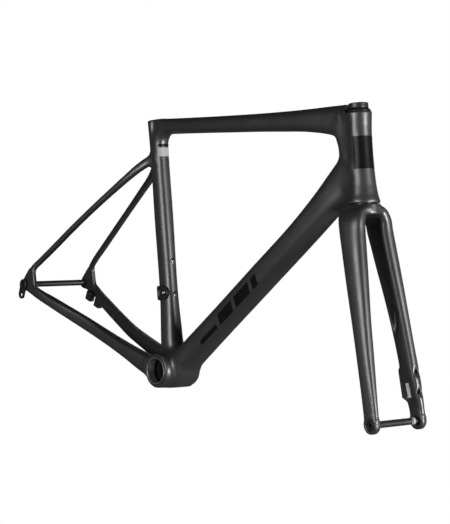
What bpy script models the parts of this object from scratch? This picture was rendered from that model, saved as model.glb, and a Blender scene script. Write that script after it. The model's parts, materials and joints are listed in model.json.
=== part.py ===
"""Disc-brake road bicycle frameset: hollow tubes, fork, headset and thru axles.

The frame stands as it rides: +X forward, +Y to the rider's left, +Z up, and the
origin at the middle of the bottom bracket.
"""
import math

import bmesh
import bpy
from mathutils import Matrix, Vector

MM = 0.001
GAP = 0.3 * MM

# Frame geometry
HEAD_ANGLE = math.radians(73.25)
SEAT_ANGLE = math.radians(72.1)
CROWN_RACE = Vector((436.5, 0.0, 414.6)) * MM
REAR_AXLE = Vector((-403.4, 0.0, 71.6)) * MM
FORK_RAKE = 43.3 * MM
AXLE_TO_CROWN = 371.2 * MM
SEAT_TUBE_LENGTH = 486 * MM
WALL = 1.4 * MM

# Head tube and headset, heights measured up the head axis from the crown race
HEAD_BOTTOM = 1.2 * MM
HEAD_TOP = 158.4 * MM
UPPER_SEAT_RADIUS = 21.0 * MM
LOWER_SEAT_RADIUS = 26.1 * MM
UPPER_SEAT_DEPTH = 7.4 * MM
LOWER_SEAT_DEPTH = 7.8 * MM
STEERER_RADIUS = 14.3 * MM
STEERER_BASE_RADIUS = 19.8 * MM
STEERER_TOP = 174 * MM
STEERER_BOTTOM = -14 * MM

# Bottom bracket
BB_HALF_WIDTH = 42.7 * MM
BB_RADIUS = 33.0 * MM
BB_SLEEVE_RADIUS = 25.6 * MM
BB_BORE_RADIUS = 23.4 * MM
BB_SLEEVE_LENGTH = 16 * MM

# Hub spacing and axles
REAR_HUB_HALF = 71 * MM
FRONT_HUB_HALF = 50 * MM
REAR_DROPOUT_THICKNESS = 8 * MM
FORK_TIP_THICKNESS = 12 * MM
AXLE_RADIUS = 6 * MM
AXLE_HOLE_RADIUS = 6.3 * MM
AXLE_BORE_RADIUS = 3 * MM

# Bolts
BOTTLE_BOLT_PITCH = 64 * MM
BRAKE_BOLT_PITCH = 34 * MM

RING = 18
TURN = 24
SMALL_TURN = 12

COLORS = {
    "carbon": ((0.045, 0.047, 0.05, 1), 0.38, 0.15),
    "black": ((0.012, 0.012, 0.013, 1), 0.4, 0.3),
    "alloy": ((0.45, 0.46, 0.47, 1), 0.3, 1.0),
    "steel": ((0.6, 0.6, 0.6, 1), 0.28, 1.0),
    "rubber": ((0.02, 0.02, 0.02, 1), 0.8, 0.0),
}

for old in list(bpy.data.objects):
    bpy.data.objects.remove(old, do_unlink=True)

parts = bpy.data.collections.new("bicycle_frame")
cutters = bpy.data.collections.new("cutters")
bpy.context.scene.collection.children.link(parts)
bpy.context.scene.collection.children.link(cutters)


def make_material(name):
    """A Principled BSDF in one of the frame's finishes."""
    color, roughness, metallic = COLORS[name]
    material = bpy.data.materials.new(name)
    material.use_nodes = True
    shader = material.node_tree.nodes["Principled BSDF"]
    shader.inputs["Base Color"].default_value = color
    shader.inputs["Roughness"].default_value = roughness
    shader.inputs["Metallic"].default_value = metallic
    return material


MATERIALS = {name: make_material(name) for name in COLORS}


def add_object(name, mesh, material, parent=None, matrix=None):
    """Link a mesh as a part, or as a cutter when it has no material."""
    obj = bpy.data.objects.new(name, mesh)
    if material is None:
        cutters.objects.link(obj)
        obj.hide_render = True
        obj.display_type = "WIRE"
    else:
        parts.objects.link(obj)
        mesh.materials.append(MATERIALS[material])
    if parent is not None:
        obj.parent = parent
    if matrix is not None:
        obj.matrix_local = matrix
    return obj


def add_axis(name, location, direction):
    """An empty whose local Z is a joint's axis and whose local X leans forward."""
    empty = bpy.data.objects.new(name, None)
    empty.empty_display_size = 0.02
    parts.objects.link(empty)
    z_axis = Vector(direction).normalized()
    helper = Vector((1, 0, 0)) if abs(z_axis.x) < 0.9 else Vector((0, 0, -1))
    x_axis = (helper - z_axis * helper.dot(z_axis)).normalized()
    y_axis = z_axis.cross(x_axis)
    rotation = Matrix((x_axis, y_axis, z_axis)).transposed().to_4x4()
    empty.matrix_world = Matrix.Translation(location) @ rotation
    return empty


def smooth(mesh, angle=35):
    """Shade a round piece smooth and keep its edges crisp."""
    mesh.shade_smooth()
    mesh.set_sharp_from_angle(angle=math.radians(angle))


def cut(obj, *tools, solver="EXACT"):
    """Take each tool away from an object."""
    for tool in tools:
        modifier = obj.modifiers.new("cut", "BOOLEAN")
        modifier.operation = "DIFFERENCE"
        modifier.solver = solver
        modifier.object = tool


def bevel(obj, width, segments=2, angle=40):
    """Round the sharp edges of an object."""
    modifier = obj.modifiers.new("round", "BEVEL")
    modifier.width = width
    modifier.segments = segments
    modifier.limit_method = "ANGLE"
    modifier.angle_limit = math.radians(angle)
    modifier.use_clamp_overlap = True


def turned(name, profile, material, parent=None, matrix=None, steps=TURN):
    """Revolve a profile of (radius, height) pairs that runs down its outer side."""
    mesh = bpy.data.meshes.new(name)
    points = [(radius, 0, height) for radius, height in profile]
    edges = [(k, k + 1) for k in range(len(points) - 1)]
    if all(radius > 0 for radius, _ in profile):
        edges.append((len(points) - 1, 0))
    mesh.from_pydata(points, edges, [])
    obj = add_object(name, mesh, material, parent, matrix)
    screw = obj.modifiers.new("turn", "SCREW")
    screw.axis = "Z"
    screw.angle = math.tau
    screw.steps = steps
    screw.render_steps = steps
    screw.use_merge_vertices = True
    screw.merge_threshold = 0.00002
    screw.use_smooth_shade = True
    return obj


def ring(inner, outer, low, high, chamfer=0.4 * MM):
    """Profile of a plain ring with chamfered outer corners."""
    return [
        (outer - chamfer, high),
        (outer, high - chamfer),
        (outer, low + chamfer),
        (outer - chamfer, low),
        (inner, low),
        (inner, high),
    ]


def rod(radius, low, high, chamfer=0.4 * MM):
    """Profile of a solid rod with chamfered ends."""
    return [
        (0, high),
        (radius - chamfer, high),
        (radius, high - chamfer),
        (radius, low + chamfer),
        (radius - chamfer, low),
        (0, low),
    ]


def station_ring(bm, station, tangent, across, grow, count):
    """One superellipse cross-section of a tube, square to its path."""
    point, width, depth, power = station
    side = (across - tangent * across.dot(tangent)).normalized()
    normal = tangent.cross(side)
    corners = []
    for k in range(count):
        turn = math.tau * (k + 0.5) / count
        c, s = math.cos(turn), math.sin(turn)
        a = math.copysign(abs(c) ** (2 / power), c) * (width / 2 + grow)
        b = math.copysign(abs(s) ** (2 / power), s) * (depth / 2 + grow)
        corners.append(bm.verts.new(point + side * a + normal * b))
    return corners


def loft(name, stations, material, across=(0, 1, 0), wall=0.0, grow=0.0,
         direction=None, count=RING):
    """Loft a tube through stations of (point, width, depth, power).

    With a wall it is an open-ended shell, and without one it is a solid. The
    sections are square to the path, or to the direction where one is given.
    """
    bm = bmesh.new()
    across = Vector(across)
    points = [Vector(station[0]) for station in stations]
    rings = []
    for k, station in enumerate(stations):
        ahead = points[min(k + 1, len(points) - 1)]
        behind = points[max(k - 1, 0)]
        tangent = Vector(direction or ahead - behind).normalized()
        rings.append(station_ring(bm, (points[k],) + tuple(station[1:]), tangent,
                                  across, grow, count))
    for first, second in zip(rings[:-1], rings[1:]):
        for k in range(count):
            n = (k + 1) % count
            bm.faces.new((first[k], first[n], second[n], second[k]))
    if wall == 0.0:
        bm.faces.new(list(reversed(rings[0])))
        bm.faces.new(rings[-1])
    mesh = bpy.data.meshes.new(name)
    bm.to_mesh(mesh)
    bm.free()
    obj = add_object(name, mesh, material)
    if wall > 0.0:
        shell = obj.modifiers.new("wall", "SOLIDIFY")
        shell.thickness = wall
        shell.offset = -1
        shell.use_even_offset = True
    smooth(mesh, 50)
    return obj


def plate(name, outline, thickness, material, parent=None, matrix=None, round_edge=0.0):
    """A flat outline drawn in its local XY plane, with its thickness centred on it."""
    curve = bpy.data.curves.new(name, "CURVE")
    curve.dimensions = "2D"
    curve.fill_mode = "BOTH"
    curve.extrude = thickness / 2
    spline = curve.splines.new("POLY")
    spline.points.add(len(outline) - 1)
    for point, (x, y) in zip(spline.points, outline):
        point.co = (x, y, 0, 1)
    spline.use_cyclic_u = True
    shape = bpy.data.objects.new(name + "_curve", curve)
    parts.objects.link(shape)
    bpy.context.view_layer.update()
    depsgraph = bpy.context.evaluated_depsgraph_get()
    mesh = bpy.data.meshes.new_from_object(shape.evaluated_get(depsgraph))
    bpy.data.objects.remove(shape, do_unlink=True)
    bm = bmesh.new()
    bm.from_mesh(mesh)
    bmesh.ops.remove_doubles(bm, verts=bm.verts, dist=0.00001)
    bmesh.ops.recalc_face_normals(bm, faces=bm.faces)
    bm.to_mesh(mesh)
    bm.free()
    mesh.materials.clear()
    obj = add_object(name, mesh, material, parent, matrix)
    if round_edge > 0.0:
        bevel(obj, round_edge)
    smooth(mesh)
    return obj


def box(name, size, material, parent=None, matrix=None, round_edge=0.0):
    """A block centred on its own origin."""
    bm = bmesh.new()
    bmesh.ops.create_cube(bm, size=1.0)
    bmesh.ops.scale(bm, vec=size, verts=bm.verts)
    mesh = bpy.data.meshes.new(name)
    bm.to_mesh(mesh)
    bm.free()
    obj = add_object(name, mesh, material, parent, matrix)
    if round_edge > 0.0:
        bevel(obj, round_edge)
    return obj


def hull_of_circles(circles, steps=16):
    """Outline of a band stretched around circles of (x, y, radius)."""
    points = []
    for x, y, radius in circles:
        for k in range(steps):
            turn = math.tau * k / steps
            points.append((x + radius * math.cos(turn), y + radius * math.sin(turn)))
    points.sort()

    def half(sequence):
        chain = []
        for point in sequence:
            while len(chain) > 1:
                (ax, ay), (bx, by) = chain[-2], chain[-1]
                turn = (bx - ax) * (point[1] - ay) - (by - ay) * (point[0] - ax)
                if turn > 1e-12:
                    break
                chain.pop()
            chain.append(point)
        return chain[:-1]

    return half(points) + half(points[::-1])


def facing(point, direction, up=(0, 0, 1)):
    """Matrix that puts local Z along a direction at a point."""
    z_axis = Vector(direction).normalized()
    helper = Vector(up)
    x_axis = (helper - z_axis * helper.dot(z_axis)).normalized()
    y_axis = z_axis.cross(x_axis)
    rotation = Matrix((x_axis, y_axis, z_axis)).transposed().to_4x4()
    return Matrix.Translation(Vector(point)) @ rotation


def side_view(centre_y):
    """Matrix for an outline drawn as (forward, up) and extruded across the frame."""
    return Matrix.Translation((0, centre_y, 0)) @ Matrix.Rotation(math.pi / 2, 4, "X")


HEAD_UP = Vector((-math.cos(HEAD_ANGLE), 0, math.sin(HEAD_ANGLE)))
HEAD_FORWARD = Vector((math.sin(HEAD_ANGLE), 0, math.cos(HEAD_ANGLE)))
SEAT_UP = Vector((-math.cos(SEAT_ANGLE), 0, math.sin(SEAT_ANGLE)))
SEAT_FORWARD = Vector((math.sin(SEAT_ANGLE), 0, math.cos(SEAT_ANGLE)))
ACROSS = Vector((0, 1, 0))
head_axis = add_axis("head_axis", CROWN_RACE, HEAD_UP)
FRONT_AXLE = CROWN_RACE + HEAD_FORWARD * FORK_RAKE - HEAD_UP * AXLE_TO_CROWN


def at_head(forward, across, up):
    """World point from millimetres in the head axis frame."""
    return (CROWN_RACE + HEAD_FORWARD * forward * MM + ACROSS * across * MM
            + HEAD_UP * up * MM)


def head_outline(grow=0.0):
    """Outer side of the waisted head tube, top to bottom."""
    top = HEAD_TOP / MM
    heights = (top, top - 8, 133, 116, 98, 82, 65, 48, 32, 16, 7, HEAD_BOTTOM / MM)
    radii = (22.5, 22.0, 20.7, 20.2, 20.1, 20.3, 20.9, 21.8, 22.9, 25.2, 27.6, 28.0)
    return [(radius * MM + grow, height * MM) for radius, height in zip(radii, heights)]


def build_head_tube():
    """Head tube with a bearing seat at each end."""
    inner = [
        (LOWER_SEAT_RADIUS, HEAD_BOTTOM),
        (LOWER_SEAT_RADIUS, HEAD_BOTTOM + LOWER_SEAT_DEPTH),
        (23.2 * MM, HEAD_BOTTOM + LOWER_SEAT_DEPTH),
        (20.6 * MM, 32 * MM),
        (18.5 * MM, 75 * MM),
        (18.5 * MM, HEAD_TOP - UPPER_SEAT_DEPTH),
        (UPPER_SEAT_RADIUS, HEAD_TOP - UPPER_SEAT_DEPTH),
        (UPPER_SEAT_RADIUS, HEAD_TOP),
    ]
    turned("head_tube", head_outline() + inner, "carbon", head_axis)
    solid = head_outline(GAP)
    solid = [(0, solid[0][1] + 20 * MM), (solid[0][0], solid[0][1] + 20 * MM)] + solid
    solid += [(solid[-1][0], -20 * MM), (0, -20 * MM)]
    return turned("head_tube_space", solid, None, head_axis)


def build_bottom_bracket():
    """Shell across the frame with a threaded metal sleeve in each end."""
    axis = add_axis("crank_axis", (0, 0, 0), (0, 1, 0))
    half = BB_HALF_WIDTH
    seat = BB_SLEEVE_RADIUS + GAP
    shell = [
        (BB_RADIUS - 2 * MM, half),
        (BB_RADIUS, half - 2 * MM),
        (BB_RADIUS, -half + 2 * MM),
        (BB_RADIUS - 2 * MM, -half),
        (seat, -half),
        (seat, -half + BB_SLEEVE_LENGTH),
        (seat - 2 * MM, -half + BB_SLEEVE_LENGTH),
        (seat - 2 * MM, half - BB_SLEEVE_LENGTH),
        (seat, half - BB_SLEEVE_LENGTH),
        (seat, half),
    ]
    turned("bottom_bracket_shell", shell, "carbon", axis)
    for name, sign in (("left", 1), ("right", -1)):
        low = half - BB_SLEEVE_LENGTH + GAP
        profile = ring(BB_BORE_RADIUS, BB_SLEEVE_RADIUS, low, half + 0.6 * MM)
        flip = Matrix.Rotation(0 if sign > 0 else math.pi, 4, "X")
        turned(name + "_bottom_bracket_sleeve", profile, "alloy", axis, flip)
    return turned("bottom_bracket_space", rod(BB_RADIUS + GAP, -half, half, 0.1 * MM),
                  None, axis)


def line_station(origin, direction, distance, width, depth, power, offset=0.0):
    """Station at a distance along a straight tube, all in millimetres."""
    normal = Vector(direction).cross(ACROSS)
    point = Vector(origin) + Vector(direction) * distance * MM + normal * offset * MM
    return (point, width * MM, depth * MM, power)


DOWN_ORIGIN = Vector((11.7, 0, 0)) * MM
DOWN_DIRECTION = Vector((0.6529, 0, 0.7574))
DOWN_STATIONS = ((0, 62, 44, 3.0), (40, 56, 45, 3.0), (90, 50, 46, 3.0),
                 (300, 48, 46, 3.0), (470, 47, 48, 3.0, 1), (530, 44, 55, 2.8, 4),
                 (575, 39, 64, 2.6, 8), (612, 36, 70, 2.5, 11))
SEAT_ORIGIN = Vector((4, 0, 0)) * MM
SEAT_STATIONS = ((0, 44, 46, 2.6), (70, 36, 42, 2.6), (120, 30, 39, 2.6),
                 (300, 30, 38, 2.6), (430, 30, 37, 2.6), (486, 31, 41, 2.6))
TOP_DIRECTION = Vector((0.981, 0, 0.1937))
TOP_ORIGIN = Vector((-137.0, 0, 447.7)) * MM
TOP_STATIONS = ((0, 31, 30, 2.6), (60, 33, 29, 2.6), (200, 36, 29.5, 2.6),
                (340, 37, 33.5, 2.6), (430, 37, 40, 2.6), (474, 36, 47, 2.6, -0.5),
                (490, 36, 62, 2.8, -8.5), (505, 35, 95, 3.0, -27.8), (536, 34, 95, 3.0, -33.6))


def straight(origin, direction, table):
    """Stations of a straight tube from a table in millimetres."""
    return [line_station(origin, direction, *row) for row in table]


def build_front_triangle(head_space, bb_space):
    """Down tube, seat tube and top tube, each coped to what it meets."""
    down = straight(DOWN_ORIGIN, DOWN_DIRECTION, DOWN_STATIONS)
    seat = straight(SEAT_ORIGIN, SEAT_UP, SEAT_STATIONS)
    top = straight(TOP_ORIGIN, TOP_DIRECTION, TOP_STATIONS)
    down_space = loft("down_tube_space", down, None, grow=GAP, direction=DOWN_DIRECTION)
    seat_space = loft("seat_tube_space", seat, None, grow=GAP)
    top_space = loft("top_tube_space", top, None, grow=GAP, direction=TOP_DIRECTION)
    crown_space = turned("crown_space", rod(42 * MM, -60 * MM, 0.6 * MM), None, head_axis)

    tube = loft("down_tube", down, "carbon", wall=WALL, direction=DOWN_DIRECTION)
    cut(tube, head_space, bb_space, crown_space, top_space)
    tube = loft("seat_tube", seat, "carbon", wall=WALL)
    cut(tube, bb_space, down_space)
    tube = loft("top_tube", top, "carbon", wall=WALL, direction=TOP_DIRECTION)
    cut(tube, head_space, seat_space)
    return seat_space


def chainstay_stations(side):
    """Chainstay path from the bottom bracket back to the dropout."""
    table = ((-12, 30.2, -1, 22, 42, 3.2), (-45, 30.9, 2, 24, 38, 3.2),
             (-100, 33.5, 11, 24, 29, 3.4), (-140, 36, 17.7, 23, 25, 3.6),
             (-180, 38.8, 24.5, 20, 24.5, 3.6), (-220, 44.7, 32.6, 15, 25.5, 3.6),
             (-260, 51.9, 40.8, 15, 24.5, 3.6), (-300, 59.9, 49.1, 17.5, 22, 3.6),
             (-332, 66.3, 56, 17.5, 20.5, 3.4), (-352, 72.4, 61, 12, 21, 3.2),
             (-365, 75.5, 64.6, 7.8, 22, 3), (-385, 75.5, 68.5, 6.6, 22, 2.8))
    return [(Vector((x, side * y, z)) * MM, w * MM, d * MM, p)
            for x, y, z, w, d, p in table]


def seatstay_stations(side):
    """Seatstay path from the dropout up to the back of the seat tube."""
    table = ((-393, 75.2, 96, 6.6, 12, 2.4), (-384.5, 75, 112, 7, 12, 2.4),
             (-372, 69, 125.5, 11, 12, 2.4), (-345, 64.3, 156.9, 12, 12, 2.4),
             (-300, 56.4, 207.5, 12, 12, 2.4), (-255, 47.5, 256.7, 12, 12, 2.4),
             (-210, 37.6, 304.5, 12.5, 13, 2.4), (-174, 28.5, 342.2, 13, 15, 2.4),
             (-158, 21.5, 360.5, 13, 17, 2.4), (-141, 11.5, 378, 13, 19, 2.4),
             (-124, 7.6, 388, 13, 21, 2.4))
    return [(Vector((x, side * y, z)) * MM, w * MM, d * MM, p)
            for x, y, z, w, d, p in table]


def build_rear(seat_space, bb_space):
    """Stays, dropouts, rear brake bosses and the derailleur hanger."""
    x, z = REAR_AXLE.x, REAR_AXLE.z
    circles = ((x, z, 15.5 * MM), (x + 24 * MM, z - 3.5 * MM, 13.5 * MM),
               (x + 13 * MM, z + 30 * MM, 8.5 * MM))
    middle = REAR_HUB_HALF + REAR_DROPOUT_THICKNESS / 2
    for name, side in (("left", 1), ("right", -1)):
        grown = [(cx, cz, r + GAP) for cx, cz, r in circles]
        space = plate(name + "_dropout_space", hull_of_circles(grown),
                      REAR_DROPOUT_THICKNESS + 2 * GAP, None,
                      matrix=side_view(side * middle))
        hole = turned(name + "_rear_axle_space",
                      rod(AXLE_HOLE_RADIUS, -20 * MM, 20 * MM), None,
                      matrix=facing((x, side * middle, z), (0, 1, 0)))
        dropout = plate(name + "_rear_dropout", hull_of_circles(circles),
                        REAR_DROPOUT_THICKNESS, "carbon",
                        matrix=side_view(side * middle), round_edge=1.5 * MM)
        cut(dropout, hole)
        stay = loft(name + "_chainstay", chainstay_stations(side), "carbon",
                    wall=WALL, count=14)
        cut(stay, bb_space, space)
        stay_space = loft(name + "_chainstay_space", chainstay_stations(side), None,
                          grow=GAP, count=14)
        stay = loft(name + "_seatstay", seatstay_stations(side), "carbon",
                    wall=1.2 * MM, count=12)
        cut(stay, space, seat_space, stay_space, solver="MANIFOLD")
    build_rear_brake_bosses()
    build_hanger()


def build_rear_brake_bosses():
    """Two bosses under the left chainstay that take the caliper's bolts."""
    for name, x in (("rear", -372.0), ("front", -372.0 + BRAKE_BOLT_PITCH / MM)):
        z = 62 + (x + 350) * -0.18
        y = 71.0 + (-350 - x) * 0.07 if x < -350 else 71.0 - (x + 350) * 0.11
        centre = Vector((x, y - 4.0, z - 19.5)) * MM
        matrix = Matrix.Translation(centre) @ Matrix.Rotation(math.radians(10), 4, "Y")
        boss = box("rear_brake_boss_" + name, (15 * MM, 15 * MM, 11 * MM), "carbon",
                   matrix=matrix, round_edge=2.2 * MM)
        hole = turned("rear_brake_hole_" + name, rod(2.8 * MM, -20 * MM, 20 * MM), None,
                      matrix=matrix, steps=SMALL_TURN)
        cut(boss, hole)


def build_hanger():
    """Replaceable derailleur hanger outside the right dropout, and its bolt."""
    x, z = REAR_AXLE.x, REAR_AXLE.z
    thickness = 5 * MM
    middle = REAR_HUB_HALF + REAR_DROPOUT_THICKNESS + GAP + thickness / 2
    eye = (x - 2 * MM, z - 22 * MM)
    outline = hull_of_circles(((x, z, 11 * MM), (eye[0], eye[1], 8.5 * MM)))
    hanger = plate("derailleur_hanger", outline, thickness, "black",
                   matrix=side_view(-middle), round_edge=1.0 * MM)
    axle_hole = turned("hanger_axle_space", rod(AXLE_HOLE_RADIUS, -20 * MM, 20 * MM), None,
                       matrix=facing((x, -middle, z), (0, 1, 0)))
    eye_hole = turned("hanger_eye_space", rod(4.5 * MM, -20 * MM, 20 * MM), None,
                      matrix=facing((eye[0], -middle, eye[1]), (0, 1, 0)), steps=SMALL_TURN)
    cut(hanger, axle_hole, eye_hole)


def blade_station(up, forward, across, side, width, depth, power):
    """Fork blade station from millimetres in the head axis frame."""
    return (at_head(forward, side * across, up), width * MM, depth * MM, power)


RIGHT_BLADE = ((-66.6, 4.2, 35.2, 28.5, 49, 2.6), (-100, 9.0, 38.1, 27.8, 46, 2.6),
               (-145, 15.5, 42.1, 25.5, 42, 2.6), (-195, 22.4, 46.0, 23, 37, 2.6),
               (-260, 31.0, 50.0, 20.8, 32, 2.8), (-350, 41.8, 55.6, 13, 30, 3.0))
LEFT_BLADE = ((-66.6, 4.2, 35.2, 28.5, 49, 2.6), (-100, 9.0, 38.1, 27.8, 46, 2.6),
              (-145, 15.5, 42.1, 25.5, 42, 2.6), (-195, 22.4, 46.0, 23, 38, 2.6),
              (-268, 32.0, 50.4, 21, 35, 2.8))
LEFT_MOUNT = ((-268.9, 32.1, 50.5, 21, 35, 2.8), (-290, 34.7, 51.6, 20.5, 34.5, 3.2),
              (-320, 38.2, 53.4, 18, 34, 3.2), (-350, 41.8, 55.6, 13, 31, 3.0))

BLADE_END = ((-330, 39.4, 54.3, 24, 40, 3.0), (-350.5, 41.86, 55.6, 24, 40, 3.0))


def build_blade(name, table, side, wall, material="carbon"):
    """One run of a fork blade."""
    stations = [blade_station(row[0], row[1], row[2], side, *row[3:]) for row in table]
    return loft(name, stations, material, wall=wall, count=16)


def build_crown():
    """Arch over the wheel that joins both blades to the steerer."""
    half = ((0, -9.3, -4.5, 18, 64, 3.6), (14, -10, -4.4, 19.5, 63, 3.4),
            (25, -15.5, -3.0, 22, 58, 3.0), (31.5, -28, -0.5, 25.5, 54, 2.8),
            (33.4, -46, 1.3, 28, 51.5, 2.6), (35.16, -66.2, 4.14, 28.5, 49, 2.6))
    rows = [(-row[0],) + row[1:] for row in reversed(half)] + list(half[1:])
    stations = [(at_head(f, y, s), t * MM, d * MM, p) for y, s, f, t, d, p in rows]
    crown = loft("fork_crown", [(p, d, t, e) for p, t, d, e in stations], "carbon",
                 across=HEAD_FORWARD)
    bore = turned("steerer_space", rod(STEERER_BASE_RADIUS + GAP, -40 * MM, 20 * MM), None,
                  head_axis)
    flat = turned("crown_top_space", rod(80 * MM, -0.4 * MM, 30 * MM), None, head_axis)
    cut(crown, bore, flat)


def build_fork():
    """Crown, blades, tips and the front brake mount."""
    build_crown()
    build_blade("right_fork_blade", RIGHT_BLADE, -1, WALL)
    build_blade("left_fork_blade", LEFT_BLADE, 1, WALL)
    mount = build_blade("left_fork_brake_mount", LEFT_MOUNT, 1, 0.0)
    tools = []
    stepped = [
        (0, 40 * MM), (5.5 * MM, 40 * MM), (5.5 * MM, 8 * MM), (2.8 * MM, 8 * MM),
        (2.8 * MM, -40 * MM), (0, -40 * MM),
    ]
    for name, up in (("upper", -288.5), ("lower", -288.5 - BRAKE_BOLT_PITCH / MM)):
        forward = 34.5 + (-288.5 - up) * 0.12
        front = facing(at_head(forward, 52.4, up), HEAD_FORWARD, HEAD_UP)
        tools.append(turned("brake_bolt_space_" + name, stepped, None, matrix=front,
                            steps=SMALL_TURN))
    cut(mount, *tools)
    build_front_brake_pad(tools)
    build_fork_tips()


def build_front_brake_pad(tools):
    """Flat seat for the caliper behind the left blade."""
    low, high = -337.0, -282.0
    middle = (low + high) / 2
    slope = math.atan(0.12)
    centre = at_head(34.5 + (-288.5 - middle) * 0.12 - 19.8, 52.2, middle)
    turn = facing(centre, HEAD_UP * math.cos(slope) - HEAD_FORWARD * math.sin(slope),
                  HEAD_FORWARD)
    pad = box("front_brake_seat", (3.6 * MM, 15 * MM, (high - low) * MM), "carbon",
              matrix=turn, round_edge=0.8 * MM)
    cut(pad, *tools)


def build_fork_tips():
    """Solid tips that hold the front axle."""
    forward, up = FORK_RAKE / MM, -AXLE_TO_CROWN / MM
    for name, side in (("left", 1), ("right", -1)):
        middle = FRONT_HUB_HALF + FORK_TIP_THICKNESS / 2
        top = -346.0
        top_forward = 41.8
        circles = ((forward, up, 15.4), (forward - 0.5, up + 5, 15.2))
        outline = hull_of_circles([(x * MM, y * MM, r * MM) for x, y, r in circles])
        outline = [p for p in outline if p[1] < up * MM + 3 * MM]
        outline += [((top_forward + 14.9) * MM, top * MM), ((top_forward - 14.9) * MM, top * MM)]
        matrix = (Matrix.Translation(CROWN_RACE)
                  @ Matrix((HEAD_FORWARD, ACROSS, HEAD_UP)).transposed().to_4x4()
                  @ Matrix.Translation((0, side * middle, 0))
                  @ Matrix.Rotation(math.pi / 2, 4, "X"))
        centre = math.fsum(p[0] for p in outline) / len(outline)
        height = math.fsum(p[1] for p in outline) / len(outline)
        outline.sort(key=lambda p: math.atan2(p[1] - height, p[0] - centre))
        tip = plate(name + "_fork_tip", outline, FORK_TIP_THICKNESS, "carbon",
                    matrix=matrix, round_edge=2.5 * MM)
        radius = 9.3 * MM if side < 0 else AXLE_HOLE_RADIUS
        hole = turned(name + "_front_axle_space", rod(radius, -20 * MM, 20 * MM), None,
                      matrix=facing(FRONT_AXLE + ACROSS * side * middle, (0, 1, 0)))
        blade_space = build_blade(name + "_blade_end_space", BLADE_END, side, 0.0,
                                  material=None)
        cut(tip, hole, blade_space)
    low = FRONT_HUB_HALF + 0.4 * MM
    high = FRONT_HUB_HALF + FORK_TIP_THICKNESS - 0.6 * MM
    turned("front_axle_insert", ring(AXLE_HOLE_RADIUS, 9 * MM, low, high), "black",
           matrix=facing(FRONT_AXLE, (0, -1, 0)))


def build_headset():
    """Steerer, both bearings and the parts stacked on top of the head tube."""
    lower_top = HEAD_BOTTOM + LOWER_SEAT_DEPTH - GAP
    upper_low = HEAD_TOP - UPPER_SEAT_DEPTH + GAP
    upper_top = HEAD_TOP - 0.4 * MM
    steerer = [
        (STEERER_RADIUS, STEERER_TOP),
        (STEERER_RADIUS, 95 * MM),
        (17.6 * MM, 30 * MM),
        (STEERER_BASE_RADIUS, 8.6 * MM),
        (STEERER_BASE_RADIUS, STEERER_BOTTOM),
        (STEERER_BASE_RADIUS - 3.4 * MM, STEERER_BOTTOM),
        (STEERER_BASE_RADIUS - 3.4 * MM, 8 * MM),
        (15 * MM, 30 * MM),
        (STEERER_RADIUS - 2.8 * MM, 95 * MM),
        (STEERER_RADIUS - 2.8 * MM, STEERER_TOP),
    ]
    turned("steerer_tube", steerer, "carbon", head_axis)
    low = HEAD_BOTTOM + 0.2 * MM
    turned("lower_bearing_outer_race",
           ring(23.6 * MM, LOWER_SEAT_RADIUS - GAP, low, lower_top), "steel", head_axis)
    turned("lower_bearing_inner_race",
           ring(STEERER_BASE_RADIUS + GAP, 23.0 * MM, low, lower_top), "steel", head_axis)
    turned("upper_bearing_outer_race",
           ring(18.9 * MM, UPPER_SEAT_RADIUS - GAP, upper_low, upper_top), "steel", head_axis)
    turned("upper_bearing_inner_race",
           ring(16.4 * MM, 18.3 * MM, upper_low, upper_top), "steel", head_axis)
    wedge = [
        (15.9 * MM, upper_top),
        (15.9 * MM, upper_low + 1 * MM),
        (STEERER_RADIUS + GAP, upper_low + 1 * MM),
        (STEERER_RADIUS + GAP, upper_top),
    ]
    turned("compression_ring", wedge, "alloy", head_axis)
    cover = [
        (17.6 * MM, 164.2 * MM),
        (20.4 * MM, 161.2 * MM),
        (21.2 * MM, 159.4 * MM),
        (21.2 * MM, 158.8 * MM),
        (STEERER_RADIUS + GAP, 158.8 * MM),
        (STEERER_RADIUS + GAP, 164.2 * MM),
    ]
    turned("headset_cover", cover, "black", head_axis)
    build_collar()


def build_collar():
    """Split collar that clamps the steerer, with its pinch bolt."""
    low, high = 164.6 * MM, 173.6 * MM
    collar = turned("steerer_collar", ring(STEERER_RADIUS + GAP, 17.0 * MM, low, high),
                    "black", head_axis)
    turn = Matrix.Rotation(math.pi, 4, "Z")
    ear = box("collar_ear_space", (9 * MM, 2.0 * MM, 30 * MM), None, head_axis,
              turn @ Matrix.Translation((17 * MM, 0, (low + high) / 2)))
    cut(collar, ear)
    middle = (low + high) / 2
    for name, side in (("left", 1), ("right", -1)):
        place = turn @ Matrix.Translation((20.4 * MM, side * 3.3 * MM, middle))
        lug = box(name + "_collar_lug", (6.2 * MM, 4.6 * MM, 7.6 * MM), "black", head_axis,
                  place, round_edge=0.8 * MM)
        bolt_space = turned(name + "_pinch_bolt_space", rod(1.9 * MM, -30 * MM, 30 * MM),
                            None, head_axis,
                            turn @ Matrix.Translation((20.6 * MM, 0, middle))
                            @ Matrix.Rotation(math.pi / 2, 4, "X"), steps=SMALL_TURN)
        cut(lug, bolt_space)
    profile = [
        (0, 9.0 * MM), (2.6 * MM, 9.0 * MM), (3.0 * MM, 8.6 * MM), (3.0 * MM, 6.1 * MM),
        (1.6 * MM, 6.1 * MM), (1.6 * MM, -5.4 * MM), (0, -5.4 * MM),
    ]
    turned("collar_bolt", profile, "steel", head_axis,
           turn @ Matrix.Translation((20.6 * MM, 0, middle))
           @ Matrix.Rotation(math.pi / 2, 4, "X"), steps=SMALL_TURN)


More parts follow.
